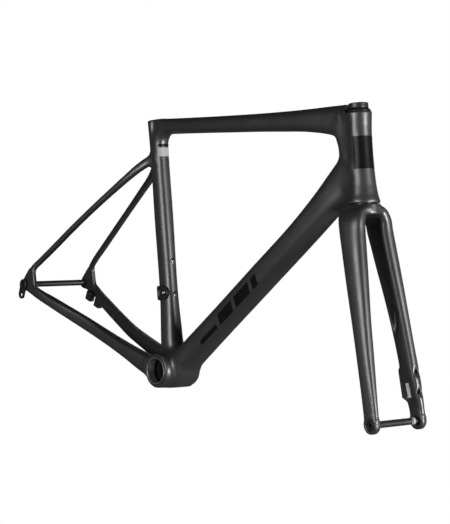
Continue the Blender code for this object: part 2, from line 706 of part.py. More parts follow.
def build_axles():
    """Front and rear thru axles, hollow, with their heads on the left side."""
    specs = (
        ("front_axle", FRONT_AXLE, -FRONT_HUB_HALF - 11 * MM,
         FRONT_HUB_HALF + FORK_TIP_THICKNESS),
        ("rear_axle", REAR_AXLE,
         -REAR_HUB_HALF - REAR_DROPOUT_THICKNESS - 4.6 * MM,
         REAR_HUB_HALF + REAR_DROPOUT_THICKNESS),
    )
    for name, centre, low, high in specs:
        axis = add_axis(name + "_line", centre, (0, 1, 0))
        profile = [
            (8.6 * MM, high + 3.4 * MM),
            (9.2 * MM, high + 2.6 * MM),
            (9.2 * MM, high + GAP),
            (AXLE_RADIUS, high + GAP),
            (AXLE_RADIUS, low + 0.8 * MM),
            (AXLE_RADIUS - 0.8 * MM, low),
            (AXLE_BORE_RADIUS, low),
            (AXLE_BORE_RADIUS, high + 3.4 * MM),
        ]
        turned(name, profile, "black", axis, steps=18)


def surface_point(tube_origin, direction, table, distance, across=0.0, side=1):
    """Middle of a tube's upper or lower flat at a distance along it."""
    rows = sorted(table)
    for first, second in zip(rows[:-1], rows[1:]):
        if first[0] <= distance <= second[0]:
            share = (distance - first[0]) / (second[0] - first[0])
            depth = first[2] + (second[2] - first[2]) * share
    normal = Vector(direction).cross(ACROSS)
    middle = Vector(tube_origin) + Vector(direction) * distance * MM
    return middle + normal * side * depth / 2 * MM + ACROSS * across * MM, normal * side


def build_bottle_mounts():
    """Threaded inserts in both tubes and the button-head bolts in them."""
    specs = (
        ("seat_tube_lower", "seat_tube", SEAT_ORIGIN, SEAT_UP, SEAT_STATIONS, 145.0, -1),
        ("seat_tube_upper", "seat_tube", SEAT_ORIGIN, SEAT_UP, SEAT_STATIONS,
         145.0 + BOTTLE_BOLT_PITCH / MM, -1),
        ("down_tube_lower", "down_tube", DOWN_ORIGIN, DOWN_DIRECTION, DOWN_STATIONS,
         215.0, 1),
        ("down_tube_upper", "down_tube", DOWN_ORIGIN, DOWN_DIRECTION, DOWN_STATIONS,
         215.0 + BOTTLE_BOLT_PITCH / MM, 1),
    )
    for name, tube, origin, direction, table, distance, side in specs:
        point, normal = surface_point(origin, direction, table, distance, side=side)
        matrix = facing(point, normal, direction)
        insert = [
            (4.2 * MM, 1.4 * MM), (5.2 * MM, 1.0 * MM), (5.2 * MM, 0.3 * MM),
            (3.7 * MM, 0.3 * MM), (3.7 * MM, -9 * MM), (2.7 * MM, -9 * MM),
            (2.7 * MM, 1.4 * MM),
        ]
        turned(name + "_bottle_insert", insert, "alloy", matrix=matrix, steps=SMALL_TURN)
        bolt = [
            (1.6 * MM, 4.2 * MM), (3.2 * MM, 3.8 * MM), (4.4 * MM, 2.8 * MM),
            (4.5 * MM, 1.7 * MM), (2.4 * MM, 1.7 * MM), (2.4 * MM, -7 * MM), (0, -7 * MM),
        ]
        turned(name + "_bottle_bolt", [(0, 2.6 * MM), (1.6 * MM, 2.6 * MM)] + bolt, "black",
               matrix=matrix, steps=SMALL_TURN)
        hole = turned(name + "_insert_space", rod(4.0 * MM, -14 * MM, 6 * MM), None,
                      matrix=matrix, steps=SMALL_TURN)
        cut(parts.objects[tube], hole)


def build_front_derailleur_mount():
    """Curved plate on the right of the seat tube, with its clamp bolt."""
    distance = 149.0
    middle = SEAT_ORIGIN + SEAT_UP * distance * MM
    outline = hull_of_circles(((-11 * MM, 10 * MM, 4 * MM), (-11 * MM, -10 * MM, 4 * MM),
                               (1.5 * MM, 0, 14 * MM)))
    frame = Matrix((SEAT_FORWARD, SEAT_UP, -ACROSS)).transposed().to_4x4()
    base = Matrix.Translation(middle - ACROSS * 15.2 * MM) @ frame
    mount = plate("front_derailleur_mount", outline, 5.2 * MM, "black", matrix=base,
                  round_edge=0.8 * MM)
    seat = straight(SEAT_ORIGIN, SEAT_UP, SEAT_STATIONS)
    tube_space = loft("seat_tube_side_space", seat, None, grow=GAP)
    place = base @ Matrix.Translation((6.5 * MM, 0, 0))
    hole = turned("front_derailleur_bolt_space", rod(2.8 * MM, -20 * MM, 20 * MM), None,
                  matrix=place, steps=SMALL_TURN)
    cut(mount, tube_space, hole)
    cut(parts.objects["seat_tube"], hole)
    profile = [
        (0, 4.6 * MM), (3.2 * MM, 4.6 * MM), (3.8 * MM, 4.0 * MM), (3.8 * MM, 3.0 * MM),
        (2.4 * MM, 3.0 * MM), (2.4 * MM, -7 * MM), (0, -7 * MM),
    ]
    turned("front_derailleur_bolt", profile, "steel", matrix=place, steps=SMALL_TURN)


def build_seatpost_clamp():
    """Expanding wedge inside the top of the seat tube, drawn up by its bolt."""
    distance = SEAT_TUBE_LENGTH / MM - 22
    axis = add_axis("seat_clamp_line", SEAT_ORIGIN + SEAT_UP * distance * MM
                    + SEAT_FORWARD * 13.4 * MM, SEAT_UP)
    wedge = box("seatpost_wedge", (6 * MM, 12 * MM, 20 * MM), "alloy", axis,
                round_edge=0.8 * MM)
    hole = turned("wedge_bolt_space", rod(2.2 * MM, -30 * MM, 40 * MM), None, axis, steps=SMALL_TURN)
    cut(wedge, hole)
    profile = [
        (0, 17.8 * MM), (2.9 * MM, 17.8 * MM), (3.2 * MM, 17.4 * MM), (3.2 * MM, 14.0 * MM),
        (1.9 * MM, 14.0 * MM), (1.9 * MM, -12 * MM), (0, -12 * MM),
    ]
    turned("seatpost_wedge_bolt", profile, "steel", axis, steps=SMALL_TURN)


def build_hose_grommet():
    """Rubber plug where the brake hose leaves the left chainstay."""
    place = facing(Vector((-250, 41.2, 38.6)) * MM, (0.17, -1, 0.0))
    turned("brake_hose_grommet", rod(4.4 * MM, -0.9 * MM, 3.0 * MM), "rubber",
           matrix=place, steps=SMALL_TURN)
    hole = turned("grommet_space", rod(4.4 * MM + GAP, -6 * MM, 6 * MM), None,
                  matrix=place, steps=SMALL_TURN)
    cut(parts.objects["left_chainstay"], hole)


head_space = build_head_tube()
bb_space = build_bottom_bracket()
seat_space = build_front_triangle(head_space, bb_space)
build_rear(seat_space, bb_space)
build_fork()
build_headset()
build_axles()
build_bottle_mounts()
build_front_derailleur_mount()
build_seatpost_clamp()
build_hose_grommet()
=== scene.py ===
"""A moulded carbon bicycle frame and fork: skins, hardware, finishes, studio and camera.

Shapes are worked out in millimetres in the frame's own axes: the bottom bracket at the origin,
+X forward, +Y to the left and +Z up. Meshes are written in metres.
"""

import json
import math

import bmesh
import bpy
import numpy as np
from mathutils import Matrix, Vector

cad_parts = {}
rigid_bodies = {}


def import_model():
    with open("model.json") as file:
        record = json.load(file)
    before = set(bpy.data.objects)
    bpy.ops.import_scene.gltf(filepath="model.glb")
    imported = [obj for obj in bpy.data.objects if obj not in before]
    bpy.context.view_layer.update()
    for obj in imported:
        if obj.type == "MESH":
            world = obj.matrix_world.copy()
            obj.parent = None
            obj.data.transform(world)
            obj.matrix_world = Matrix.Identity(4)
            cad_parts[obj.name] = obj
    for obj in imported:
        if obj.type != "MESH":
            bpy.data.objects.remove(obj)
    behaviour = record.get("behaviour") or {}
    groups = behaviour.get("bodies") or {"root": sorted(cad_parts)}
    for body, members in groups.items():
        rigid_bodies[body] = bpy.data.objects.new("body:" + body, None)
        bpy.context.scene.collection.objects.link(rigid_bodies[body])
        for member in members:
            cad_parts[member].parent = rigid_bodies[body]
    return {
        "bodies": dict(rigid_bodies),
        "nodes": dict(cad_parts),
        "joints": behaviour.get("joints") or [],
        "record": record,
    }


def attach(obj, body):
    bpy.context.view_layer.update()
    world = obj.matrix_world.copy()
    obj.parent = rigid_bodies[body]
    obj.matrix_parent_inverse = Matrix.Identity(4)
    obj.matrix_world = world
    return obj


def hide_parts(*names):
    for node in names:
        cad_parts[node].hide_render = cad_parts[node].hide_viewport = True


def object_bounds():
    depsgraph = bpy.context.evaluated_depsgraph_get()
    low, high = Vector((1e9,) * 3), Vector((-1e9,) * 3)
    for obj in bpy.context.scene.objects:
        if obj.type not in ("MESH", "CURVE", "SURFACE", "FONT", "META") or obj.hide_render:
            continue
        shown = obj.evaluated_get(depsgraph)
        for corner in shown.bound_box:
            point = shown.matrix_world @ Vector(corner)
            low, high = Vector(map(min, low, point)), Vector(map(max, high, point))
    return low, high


MM = 0.001

# Steering axis: the crown race centre, and the axis's own up and forward directions.
CROWN_RACE = np.array((436.5, 0.0, 414.6))
HEAD_UP = np.array((-0.288196, 0.0, 0.957571))
HEAD_FORWARD = np.array((0.957571, 0.0, 0.288196))
ACROSS = np.array((0.0, 1.0, 0.0))

# Seat tube axis.
SEAT_ORIGIN = np.array((4.0, 0.0, 0.0))
SEAT_UP = np.array((-0.307357, 0.0, 0.951594))
SEAT_FORWARD = np.array((0.951594, 0.0, 0.307357))

# Down tube and top tube: where each starts, and its direction.
DOWN_ORIGIN = np.array((11.7, 0.0, 0.0))
DOWN_ALONG = np.array((0.6529, 0.0, 0.7574))
DOWN_SQUARE = np.array((-0.7574, 0.0, 0.6529))
TOP_ORIGIN = np.array((-137.0, 0.0, 447.7))
TOP_ALONG = np.array((0.981, 0.0, 0.1937))

# Wheel axles, as x and z.
REAR_AXLE = (-403.4, 71.6)
FRONT_AXLE = (584.94, 71.63)

# The fork's brake pad and the rear brake bosses: their middles and own directions.
BRAKE_PAD = np.array((542.19, 0.0, 123.19))
PAD_FORWARD = np.array((0.91641, 0.0, 0.40023))
PAD_UP = np.array((-0.40023, 0.0, 0.91641))
BOSSES = ((-372.0, 68.54, 46.46), (-338.0, 65.68, 40.34))
BOSS_FORWARD = np.array((0.98481, 0.0, -0.17365))
BOSS_UP = np.array((0.17365, 0.0, 0.98481))
BRAKE_BOLT_HEIGHTS = (-288.5, -322.5)

SHELL_RADIUS = 33.0
SHELL_HALF = 42.7
SLEEVE_RADIUS = 25.6
SLEEVE_BORE = 23.4
AXLE_RADIUS = 6.0
AXLE_HOLE = 6.4
TYRE_RADIUS = 347.0

FRAME_VOXEL = 2.2
FORK_VOXEL = 1.9
FINE_VOXEL = 0.8
FAR = 60.0
CRISP_ANGLE = math.radians(38)

PAINT_COLOUR = (0.015, 0.015, 0.0155)


# ---------------- distance fields


class Field:
    """Signed distances on a regular grid, in millimetres: negative is material."""

    def __init__(self, low, high, step):
        self.low = np.array(low, float)
        self.step = step
        counts = np.ceil((np.array(high, float) - self.low) / step).astype(int) + 1
        self.value = np.full(tuple(counts), FAR, np.float32)

    def block(self, low, high):
        """The slices between two corners, and the grid points in them."""
        shape = np.array(self.value.shape)
        first = np.clip(np.floor((low - self.low) / self.step).astype(int), 0, shape - 1)
        last = np.clip(np.ceil((high - self.low) / self.step).astype(int) + 1, 1, shape)
        rows = [self.low[i] + self.step * np.arange(first[i], last[i]) for i in range(3)]
        points = np.stack(np.meshgrid(*rows, indexing="ij"), axis=-1).astype(np.float32)
        return tuple(slice(a, b) for a, b in zip(first, last)), points.reshape(-1, 3)

    def meet(self, shape, blend):
        """Where a shape is, the field there, and the shape's own distances."""
        distance, low, high = shape
        margin = blend + 2 * self.step
        where, points = self.block(low - margin, high + margin)
        old = self.value[where]
        return where, old, distance(points).reshape(old.shape).astype(np.float32)

    def join(self, shape, blend):
        """Adds a shape, with a fillet about as wide as blend where the two cross."""
        where, old, new = self.meet(shape, blend)
        if blend > 0:
            blend = blend * crossing(old, new)
        self.value[where] = smooth_min(old, new, blend)

    def carve(self, shape, blend):
        """Takes a shape away."""
        where, old, new = self.meet(shape, blend)
        self.value[where] = -smooth_min(-old, new, blend)

    def soften(self, centre, reach, sigma):
        """Blurs the field round a point, so that the joins there flow into each other."""
        centre, reach = np.array(centre, float), np.array(reach, float)
        where, points = self.block(centre - reach, centre + reach)
        old = self.value[where]
        half = int(math.ceil(2.5 * sigma / self.step))
        weights = np.exp(-0.5 * (np.arange(-half, half + 1) * self.step / sigma) ** 2)
        blurred = old
        for axis in range(3):
            pad = [(half, half) if i == axis else (0, 0) for i in range(3)]
            padded = np.pad(blurred, pad, mode="edge")
            rows = np.arange(old.shape[axis])
            blurred = sum(
                weight * np.take(padded, rows + i, axis=axis)
                for i, weight in enumerate(weights / weights.sum())
            )
        out = np.linalg.norm((points - centre) / reach, axis=1).reshape(old.shape)
        share = np.clip((1 - out) / 0.4, 0, 1)
        share = share * share * (3 - 2 * share)
        self.value[where] = old + (blurred - old) * share

    def sample(self, points):
        """The field between its grid points."""
        place = (points - self.low) / self.step
        top = np.array(self.value.shape) - 2
        base = np.clip(np.floor(place).astype(int), 0, top)
        t = np.clip(place - base, 0, 1)
        total = np.zeros(len(points))
        for corner in np.ndindex(2, 2, 2):
            weight = np.prod(np.where(corner, t, 1 - t), axis=1)
            i, j, k = (base + corner).T
            total += weight * self.value[i, j, k]
        return total

    def gradient(self, points, reach=0.75):
        """The field's slope by central differences."""
        out = np.empty_like(points)
        for axis in range(3):
            shift = np.zeros(3)
            shift[axis] = reach * self.step
            out[:, axis] = self.sample(points + shift) - self.sample(points - shift)
        return out / (2 * reach * self.step)

    def settle(self, points, level, rounds):
        """Moves points onto the surface, or to a level off it."""
        for _ in range(rounds):
            slope = self.gradient(points)
            size = np.maximum(np.sum(slope * slope, axis=1), 0.05)
            points = points - slope * ((self.sample(points) - level) / size)[:, None]
        return points


def smooth_min(a, b, blend):
    """The lower of two distances, with a soft turn from one to the other."""
    blend = np.maximum(blend, 1e-6)
    near = np.maximum(blend - np.abs(a - b), 0) / blend
    return np.minimum(a, b) - near * near * blend / 4


def crossing(a, b):
    """From 0 where two fields slope the same way to 1 where they cross."""
    dot, size_a, size_b = 0, 1e-6, 1e-6
    for slope_a, slope_b in zip(np.gradient(a), np.gradient(b)):
        dot = dot + slope_a * slope_b
        size_a = size_a + slope_a * slope_a
        size_b = size_b + slope_b * slope_b
    return np.clip((1 - dot / np.sqrt(size_a * size_b)) / 0.6, 0, 1).astype(np.float32)


def hermite(knots, values, at):
    """A smooth curve through the values, with slopes from their neighbours."""
    knots, values = np.asarray(knots, float), np.asarray(values, float)
    steps = np.diff(knots)
    chords = np.diff(values, axis=0) / steps[:, None]
    slopes = np.empty_like(values)
    slopes[0], slopes[-1] = chords[0], chords[-1]
    share = (steps[1:] / (steps[1:] + steps[:-1]))[:, None]
    slopes[1:-1] = chords[:-1] * share + chords[1:] * (1 - share)
    cell = np.clip(np.searchsorted(knots, at) - 1, 0, len(steps) - 1)
    h = steps[cell][:, None]
    t = ((at - knots[cell])[:, None]) / h
    start, end = values[cell], values[cell + 1]
    return (
        start * (1 + 2 * t) * (1 - t) ** 2
        + end * t * t * (3 - 2 * t)
        + h * slopes[cell] * t * (1 - t) ** 2
        - h * slopes[cell + 1] * t * t * (1 - t)
    )


def tube(stations, across=ACROSS, spacing=4.0):
    """A limb through stations of x, y, z, width, depth and power.

    Width runs along across, depth square to it and to the path. A power of 2 is an ellipse
    and more is flatter.
    """
    rows = np.array(stations, float)
    knots = np.concatenate(([0], np.cumsum(np.linalg.norm(np.diff(rows[:, :3], axis=0), axis=1))))
    count = max(3, int(knots[-1] / spacing) + 1)
    line = np.linspace(0, knots[-1], count)
    rows = hermite(knots, rows, line)
    centre = rows[:, :3]
    tangent = np.gradient(centre, line, axis=0)
    tangent /= np.linalg.norm(tangent, axis=1)[:, None]
    side = across - tangent * (tangent @ across)[:, None]
    side /= np.linalg.norm(side, axis=1)[:, None]
    upward = np.cross(tangent, side)

    def distance(points):
        out = np.empty(len(points), np.float32)
        for first in range(0, len(points), 150000):
            some = points[first : first + 150000].astype(float)
            near = np.argmin(np.sum(centre**2, axis=1) - 2 * some @ centre.T, axis=1)
            along = line[near] + np.sum((some - centre[near]) * tangent[near], axis=1)
            at = np.clip(along, 0, line[-1])
            overshoot = np.maximum(-along, along - line[-1])
            fields = [np.interp(at, line, column) for column in rows.T]
            offset = some - np.stack(fields[:3], axis=1)
            u = np.abs(sum(offset[:, i] * np.interp(at, line, side[:, i]) for i in range(3)))
            v = np.abs(sum(offset[:, i] * np.interp(at, line, upward[:, i]) for i in range(3)))
            inner = section_distance(u, v, fields[3] / 2, fields[4] / 2, fields[5])
            out[first : first + 150000] = rounded_pair(inner, overshoot, 0.0)
        return out

    reach = np.max(rows[:, 3:5]) * 0.75
    return distance, centre.min(0) - reach, centre.max(0) + reach


def section_distance(u, v, a, b, power):
    """About how far a point of the section's plane is outside a superellipse."""
    ua, vb = u / a, v / b
    r = np.maximum((ua**power + vb**power) ** (1 / power), 1e-4)
    slope = np.sqrt((ua ** (power - 1) / a) ** 2 + (vb ** (power - 1) / b) ** 2) * r ** (1 - power)
    return np.clip((r - 1) / np.maximum(slope, 1e-3), -0.9 * np.minimum(a, b), None)


def rounded_pair(a, b, radius):
    """Two distances met at an edge of that radius."""
    outer = np.sqrt(np.maximum(a + radius, 0) ** 2 + np.maximum(b + radius, 0) ** 2)
    return outer + np.minimum(np.maximum(a, b) + radius, 0) - radius


def drum(centre, axis, radius, half, edge=0.0):
    """A cylinder with rounded rims; its radius may be a function of the height along its axis."""
    centre, axis = np.array(centre, float), np.array(axis, float)

    def distance(points):
        offset = points - centre
        height = offset @ axis
        spread = np.linalg.norm(offset - height[:, None] * axis, axis=1)
        size = radius(height) if callable(radius) else radius
        return rounded_pair(spread - size, np.abs(height) - half, edge)

    widest = max(radius(np.linspace(-half, half, 20))) if callable(radius) else radius
    reach = np.abs(axis) * half + widest
    return distance, centre - reach, centre + reach


def prism(outline, low, high, edge=0.0, grow=0.0, frame=None):
    """An outline in x and z, grown by a margin, from y low to y high, with rounded edges.

    A frame of origin, forward and up directions places the outline in another plane's axes.
    """
    corners = np.array(outline, float)
    origin, forward, up = frame or (np.zeros(3), np.array((1.0, 0, 0)), np.array((0, 0, 1.0)))

    def distance(points):
        offset = points - origin
        flat = np.stack((offset @ forward, offset @ up), axis=1)
        inner = polygon_distance(flat, corners) - grow
        middle, half = (low + high) / 2, (high - low) / 2
        return rounded_pair(inner, np.abs(points[:, 1] - middle) - half, edge)

    world = origin + corners[:, :1] * forward + corners[:, 1:] * up
    least, most = world.min(0) - grow, world.max(0) + grow
    least[1], most[1] = low, high
    return distance, least, most


def polygon_distance(points, corners):
    """The signed distance to a closed outline in a plane."""
    best = np.full(len(points), np.inf)
    inside = np.zeros(len(points), bool)
    for a, b in zip(corners, np.roll(corners, -1, axis=0)):
        edge, offset = b - a, points - a
        t = np.clip(offset @ edge / max(edge @ edge, 1e-9), 0, 1)
        best = np.minimum(best, np.sum((offset - t[:, None] * edge) ** 2, axis=1))
        crosses = (points[:, 1] >= a[1]) != (points[:, 1] >= b[1])
        if abs(edge[1]) > 1e-9:
            reach = offset[:, 1] / edge[1] * edge[0] + a[0]
            inside ^= crosses & (points[:, 0] < reach)
    return np.where(inside, -1, 1) * np.sqrt(best)


def flipped(shape):
    """The same shape on the other side."""
    distance, low, high = shape
    mirror = np.array((1.0, -1.0, 1.0))
    corners = np.sort(np.stack((low * mirror, high * mirror)), axis=0)
    return (lambda points: distance(points * mirror)), corners[0], corners[1]


# ---------------- from field to mesh


def surface(field, rounds=4):
    """The field's zero surface as even quads: points in millimetres and faces."""
    inside = field.value < 0
    corners = list(np.ndindex(2, 2, 2))
    sizes = [n - 1 for n in inside.shape]
    count = np.zeros(sizes, np.int8)
    for i, j, k in corners:
        count += inside[i : i + sizes[0], j : j + sizes[1], k : k + sizes[2]]
    cells = np.argwhere((count > 0) & (count < 8))
    number = np.full(sizes, -1, np.int64)
    number[tuple(cells.T)] = np.arange(len(cells))

    total, hits = np.zeros((len(cells), 3)), np.zeros(len(cells))
    for corner in corners:
        for axis in range(3):
            if corner[axis]:
                continue
            near = cells + corner
            far = near + np.eye(3, dtype=int)[axis]
            a = field.value[tuple(near.T)].astype(float)
            b = field.value[tuple(far.T)].astype(float)
            cut = (a < 0) != (b < 0)
            t = np.where(cut, a / np.where(cut, a - b, 1), 0)
            point = np.array(corner, float) + np.eye(3)[axis] * t[:, None]
            total += np.where(cut[:, None], point, 0)
            hits += cut
    points = field.low + field.step * (cells + total / hits[:, None])

    faces = []
    for axis in range(3):
        u, v = (axis + 1) % 3, (axis + 2) % 3
        first, second = [slice(None)] * 3, [slice(None)] * 3
        first[axis], second[axis] = slice(0, -1), slice(1, None)
        change = inside[tuple(first)] != inside[tuple(second)]
        edges = np.argwhere(change)
        ring = []
        for du, dv in ((0, 0), (-1, 0), (-1, -1), (0, -1)):
            cell = edges.copy()
            cell[:, u] += du
            cell[:, v] += dv
            ring.append(number[tuple(cell.T)])
        quads = np.stack(ring, axis=1)
        leaving = inside[tuple(first)][tuple(edges.T)]
        quads[~leaving] = quads[~leaving][:, ::-1]
        faces.append(quads)
    faces = np.concatenate(faces)

    ends = np.concatenate([faces[:, (i, (i + 1) % 4)] for i in range(4)])
    for _ in range(rounds):
        points = field.settle(relaxed(points, ends, 0.6), 0.0, 1)
    for share in (0.5, -0.52) * 3:
        points = relaxed(points, ends, share)
    return points, faces


def relaxed(points, ends, share):
    """Points moved part of the way to the mean of their neighbours."""
    degree = np.bincount(ends[:, 0], minlength=len(points))
    mean = np.stack(
        [np.bincount(ends[:, 0], points[ends[:, 1], i], len(points)) for i in range(3)], axis=1
    )
    return points * (1 - share) + share * mean / degree[:, None]


def mesh_object(name, points, faces, material, body):
    """A smooth mesh piece from points in millimetres, riding on a body."""
    mesh = bpy.data.meshes.new(name)
    mesh.vertices.add(len(points))
    mesh.vertices.foreach_set("co", (np.asarray(points) * MM).astype(np.float32).ravel())
    faces = np.asarray(faces)
    mesh.loops.add(faces.size)
    mesh.loops.foreach_set("vertex_index", faces.astype(np.int32).ravel())
    mesh.polygons.add(len(faces))
    starts = np.arange(0, faces.size, faces.shape[1], dtype=np.int32)
    mesh.polygons.foreach_set("loop_start", starts)
    mesh.update(calc_edges=True)
    mesh.validate()
    mesh.shade_smooth()
    mesh.materials.append(material)
    piece = bpy.data.objects.new(name, mesh)
    bpy.context.scene.collection.objects.link(piece)
    piece.cycles.shadow_terminator_offset = 0.2
    piece.cycles.shadow_terminator_geometry_offset = 0.3
    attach(piece, body)
    return piece


# ---------------- the frame's skin


def at_head(forward, across, up):
    """A point from its place along the steering axis's own directions."""
    return CROWN_RACE + HEAD_FORWARD * forward + ACROSS * across + HEAD_UP * up


def straight_tube(origin, direction, rows, spacing=12.0):
    """A tube with stations given by distance along a straight line and an offset square to it."""
    origin, direction = np.array(origin, float), np.array(direction, float)
    direction = direction / np.linalg.norm(direction)
    square = np.cross(direction, ACROSS)
    out = []
    for distance, offset, *section in rows:
        out.append((*(origin + direction * distance + square * offset), *section))
    return tube(out, spacing=spacing)


HEAD_PROFILE = (
    (0.0, 28.0), (7.0, 27.6), (16.0, 25.2), (32.0, 22.9), (48.0, 21.8), (65.0, 20.9),
    (82.0, 20.3), (98.0, 20.1), (116.0, 20.2), (133.0, 20.7), (150.4, 22.0), (158.4, 22.5),
)
STEERER_PROFILE = ((-20.0, 20.3), (8.6, 20.3), (30.0, 18.1), (95.0, 14.8), (180.0, 14.8))
HEAD_LOW, HEAD_TOP = 1.2, 158.4

# Distance along the tube, offset, width, depth and power.
DOWN_TUBE = (
    (0, 0, 62, 46, 3.0), (40, 0, 57.5, 47, 3.0), (90, 0, 51.5, 48, 3.0), (300, 0, 49.5, 48, 3.0),
    (470, 1, 48, 50, 3.0), (530, 4, 45, 57, 2.8), (575, 7, 39, 68, 2.6), (612, 10, 36, 74, 2.5),
)
TOP_TUBE = (
    (0, 0, 31, 31, 2.6), (60, 0, 33, 30, 2.6), (200, 0.5, 36, 31, 2.6), (340, 1.5, 37, 35, 2.6),
    (430, 2, 37, 41.5, 2.6), (474, 1, 36, 49, 2.6), (515, -2, 35, 59, 2.8), (540, -3, 34, 62, 3.0),
)
SEAT_TUBE = (
    (0, 0, 44, 46, 2.6), (70, 0, 36, 42, 2.6), (120, 0, 30, 39, 2.6), (300, 0, 30, 38, 2.6),
    (430, 0, 30, 37, 2.6), (486, 0, 31, 41, 2.6),
)
# Left stays: x, y, z, width, depth and power.
CHAINSTAY = (
    (-12, 30.2, -1, 22, 42, 3.2), (-45, 30.9, 2, 24, 38, 3.2),
    (-100, 33.5, 11, 24, 29, 3.4), (-140, 36, 17.7, 23, 25, 3.6),
    (-180, 38.8, 24.5, 20, 24.5, 3.6), (-220, 44.7, 32.6, 15, 25.5, 3.6),
    (-260, 51.9, 40.8, 15, 24.5, 3.6), (-300, 59.9, 49.1, 17.5, 22, 3.6),
    (-332, 66.3, 56, 17.5, 20.5, 3.4), (-352, 72.4, 61, 12, 21, 3.2),
    (-365, 75.3, 64.6, 8, 22, 3.0), (-385, 75.1, 68.5, 7, 22, 2.8),
)
SEATSTAY = (
    (-393, 75, 96, 7.5, 14, 2.4), (-386, 73.5, 110, 9, 13, 2.4),
    (-372, 69.5, 127, 11, 12, 2.4), (-345, 64.3, 156.9, 12, 12, 2.4),
    (-300, 56.4, 207.5, 12, 12, 2.4), (-255, 47.5, 256.7, 12, 12, 2.4),
    (-210, 37.6, 304.5, 12.5, 13, 2.4), (-174, 28.5, 342.2, 13, 15, 2.4),
    (-158, 21.5, 360.5, 13, 17, 2.4), (-141, 11.5, 378, 13, 19, 2.4),
    (-124, 7.6, 388, 13, 21, 2.4),
)


def by_height(profile, middle):
    """A radius that follows a profile of height and radius, measured from a middle height."""
    heights, radii = np.array(profile).T
    return lambda height: np.interp(height + middle, heights, radii)


def frame_field():
    """The moulded frame: main tubes, shell, stays and dropouts in one skin."""
    field = Field((-428, -96, -48), (484, 96, 590), FRAME_VOXEL)
    middle, half = (HEAD_LOW + HEAD_TOP) / 2, (HEAD_TOP - HEAD_LOW) / 2
    web = ((366, 545), (361, 507), (378, 464), (392, 430), (420, 420), (405, 545))
    chin = (
        (-5, -32), (12, -32.5), (36, -25), (46, -12), (52, 2),
        (56, 16), (58, 30), (40, 40), (0, 30),
    )
    head = drum(at_head(0, 0, middle), HEAD_UP, by_height(HEAD_PROFILE, middle), half, 0.8)
    field.join(head, 0)
    field.join(straight_tube(DOWN_ORIGIN, DOWN_ALONG, DOWN_TUBE), 20)
    field.join(prism(web, -16, 16, edge=10.0), 14)
    field.join(straight_tube(TOP_ORIGIN, TOP_ALONG, TOP_TUBE), 22)
    field.join(straight_tube(SEAT_ORIGIN, SEAT_UP, SEAT_TUBE), 22)
    field.join(prism(chin, -27, 27, edge=9.0), 12)
    for place in (lambda shape: shape, flipped):
        field.join(place(tube(CHAINSTAY)), 12)
        field.join(place(tube(SEATSTAY)), 10)
        field.join(place(dropout()), 6)
    field.soften((395, 0, 490), (70, 45, 70), 3.0)
    field.soften((25, 0, 25), (75, 60, 75), 3.0)
    field.join(drum((0, 0, 0), ACROSS, SHELL_RADIUS, SHELL_HALF, edge=4.5), 12)
    cut_frame(field)
    return field


def cut_frame(field):
    """Cuts the frame's ends and bores, and the room for the tyre."""
    field.carve(drum(at_head(0, 0, HEAD_TOP + 15), HEAD_UP, 23.0, 15.0), 0)
    field.carve(drum(at_head(0, 0, HEAD_LOW - 15), HEAD_UP, 40.0, 15.0), 0)
    field.carve(drum(at_head(0, 0, 80), HEAD_UP, by_height(STEERER_PROFILE, 80), 92.0), 0)
    field.carve(drum((0, 0, 0), ACROSS, SLEEVE_BORE, SHELL_HALF + 5), 0)
    for side in (1, -1):
        field.carve(drum((0, side * (SHELL_HALF - 5), 0), ACROSS, SLEEVE_RADIUS + 0.2, 21), 0)
        field.carve(drum((REAR_AXLE[0], side * 75, REAR_AXLE[1]), ACROSS, AXLE_HOLE, 12), 0)
    above = ((-40, 0), (23, 0), (23, 40), (-40, 40))
    seat_top = (SEAT_ORIGIN + SEAT_UP * 482, SEAT_FORWARD, SEAT_UP)
    field.carve(prism(above, -40, 40, frame=seat_top), 0.5)
    field.carve(prism(((-131, 463.6), (-40, 483.3), (-40, 520), (-131, 520)), -40, 40), 2)
    bore = [(d, 0, 22, 30, 2.4) for d in (440, 470, 500)]
    field.carve(straight_tube(SEAT_ORIGIN, SEAT_UP, bore, 6.0), 0)
    field.carve(wheel_scallop(), 3)


def dropout():
    """The left rear dropout: a plate round the axle that reaches up to the seatstay."""
    x, z = REAR_AXLE
    outline = (
        (x - 4, z - 4), (x + 24, z - 3.5), (x + 26, z + 4),
        (x + 16, z + 29), (x + 13, z + 29), (x - 2, z + 4),
    )
    return prism(outline, 71.1, 79.0, edge=2.5, grow=8.5)


def wheel_scallop():
    """Room for the rear tyre behind the seat tube."""
    x, z = REAR_AXLE
    wheel = drum((x, 0, z), ACROSS, TYRE_RADIUS, 40)

    def distance(points):
        return np.maximum(wheel[0](points), 90 - points[:, 2])

    return distance, np.array((-80.0, -40, 88)), np.array((-40.0, 40, 140))


# ---------------- the fork's skin

# Height, forward, across, width, depth and power, down a blade from the crown.
RIGHT_BLADE = (
    (-100, 9, 38.1, 27.8, 46, 2.6), (-145, 15.5, 42.1, 25.5, 42, 2.6),
    (-195, 22.4, 46, 23, 37, 2.6), (-260, 31, 50, 20.8, 32, 2.8),
    (-350, 41.8, 55.6, 13, 30, 3.0), (-364, 43, 56, 12.2, 30, 3.0),
)
LEFT_BLADE = (
    (-100, 9, 38.1, 27.8, 46, 2.6), (-145, 15.5, 42.1, 25.5, 42, 2.6),
    (-195, 22.4, 46, 23, 38, 2.6), (-268, 32, 50.4, 21, 35, 2.8),
    (-290, 34.7, 51.6, 20.5, 34.5, 3.2), (-320, 38.2, 53.4, 18, 34, 3.2),
    (-350, 41.8, 55.6, 13, 31, 3.0), (-364, 43, 56, 12.2, 30, 3.0),
)
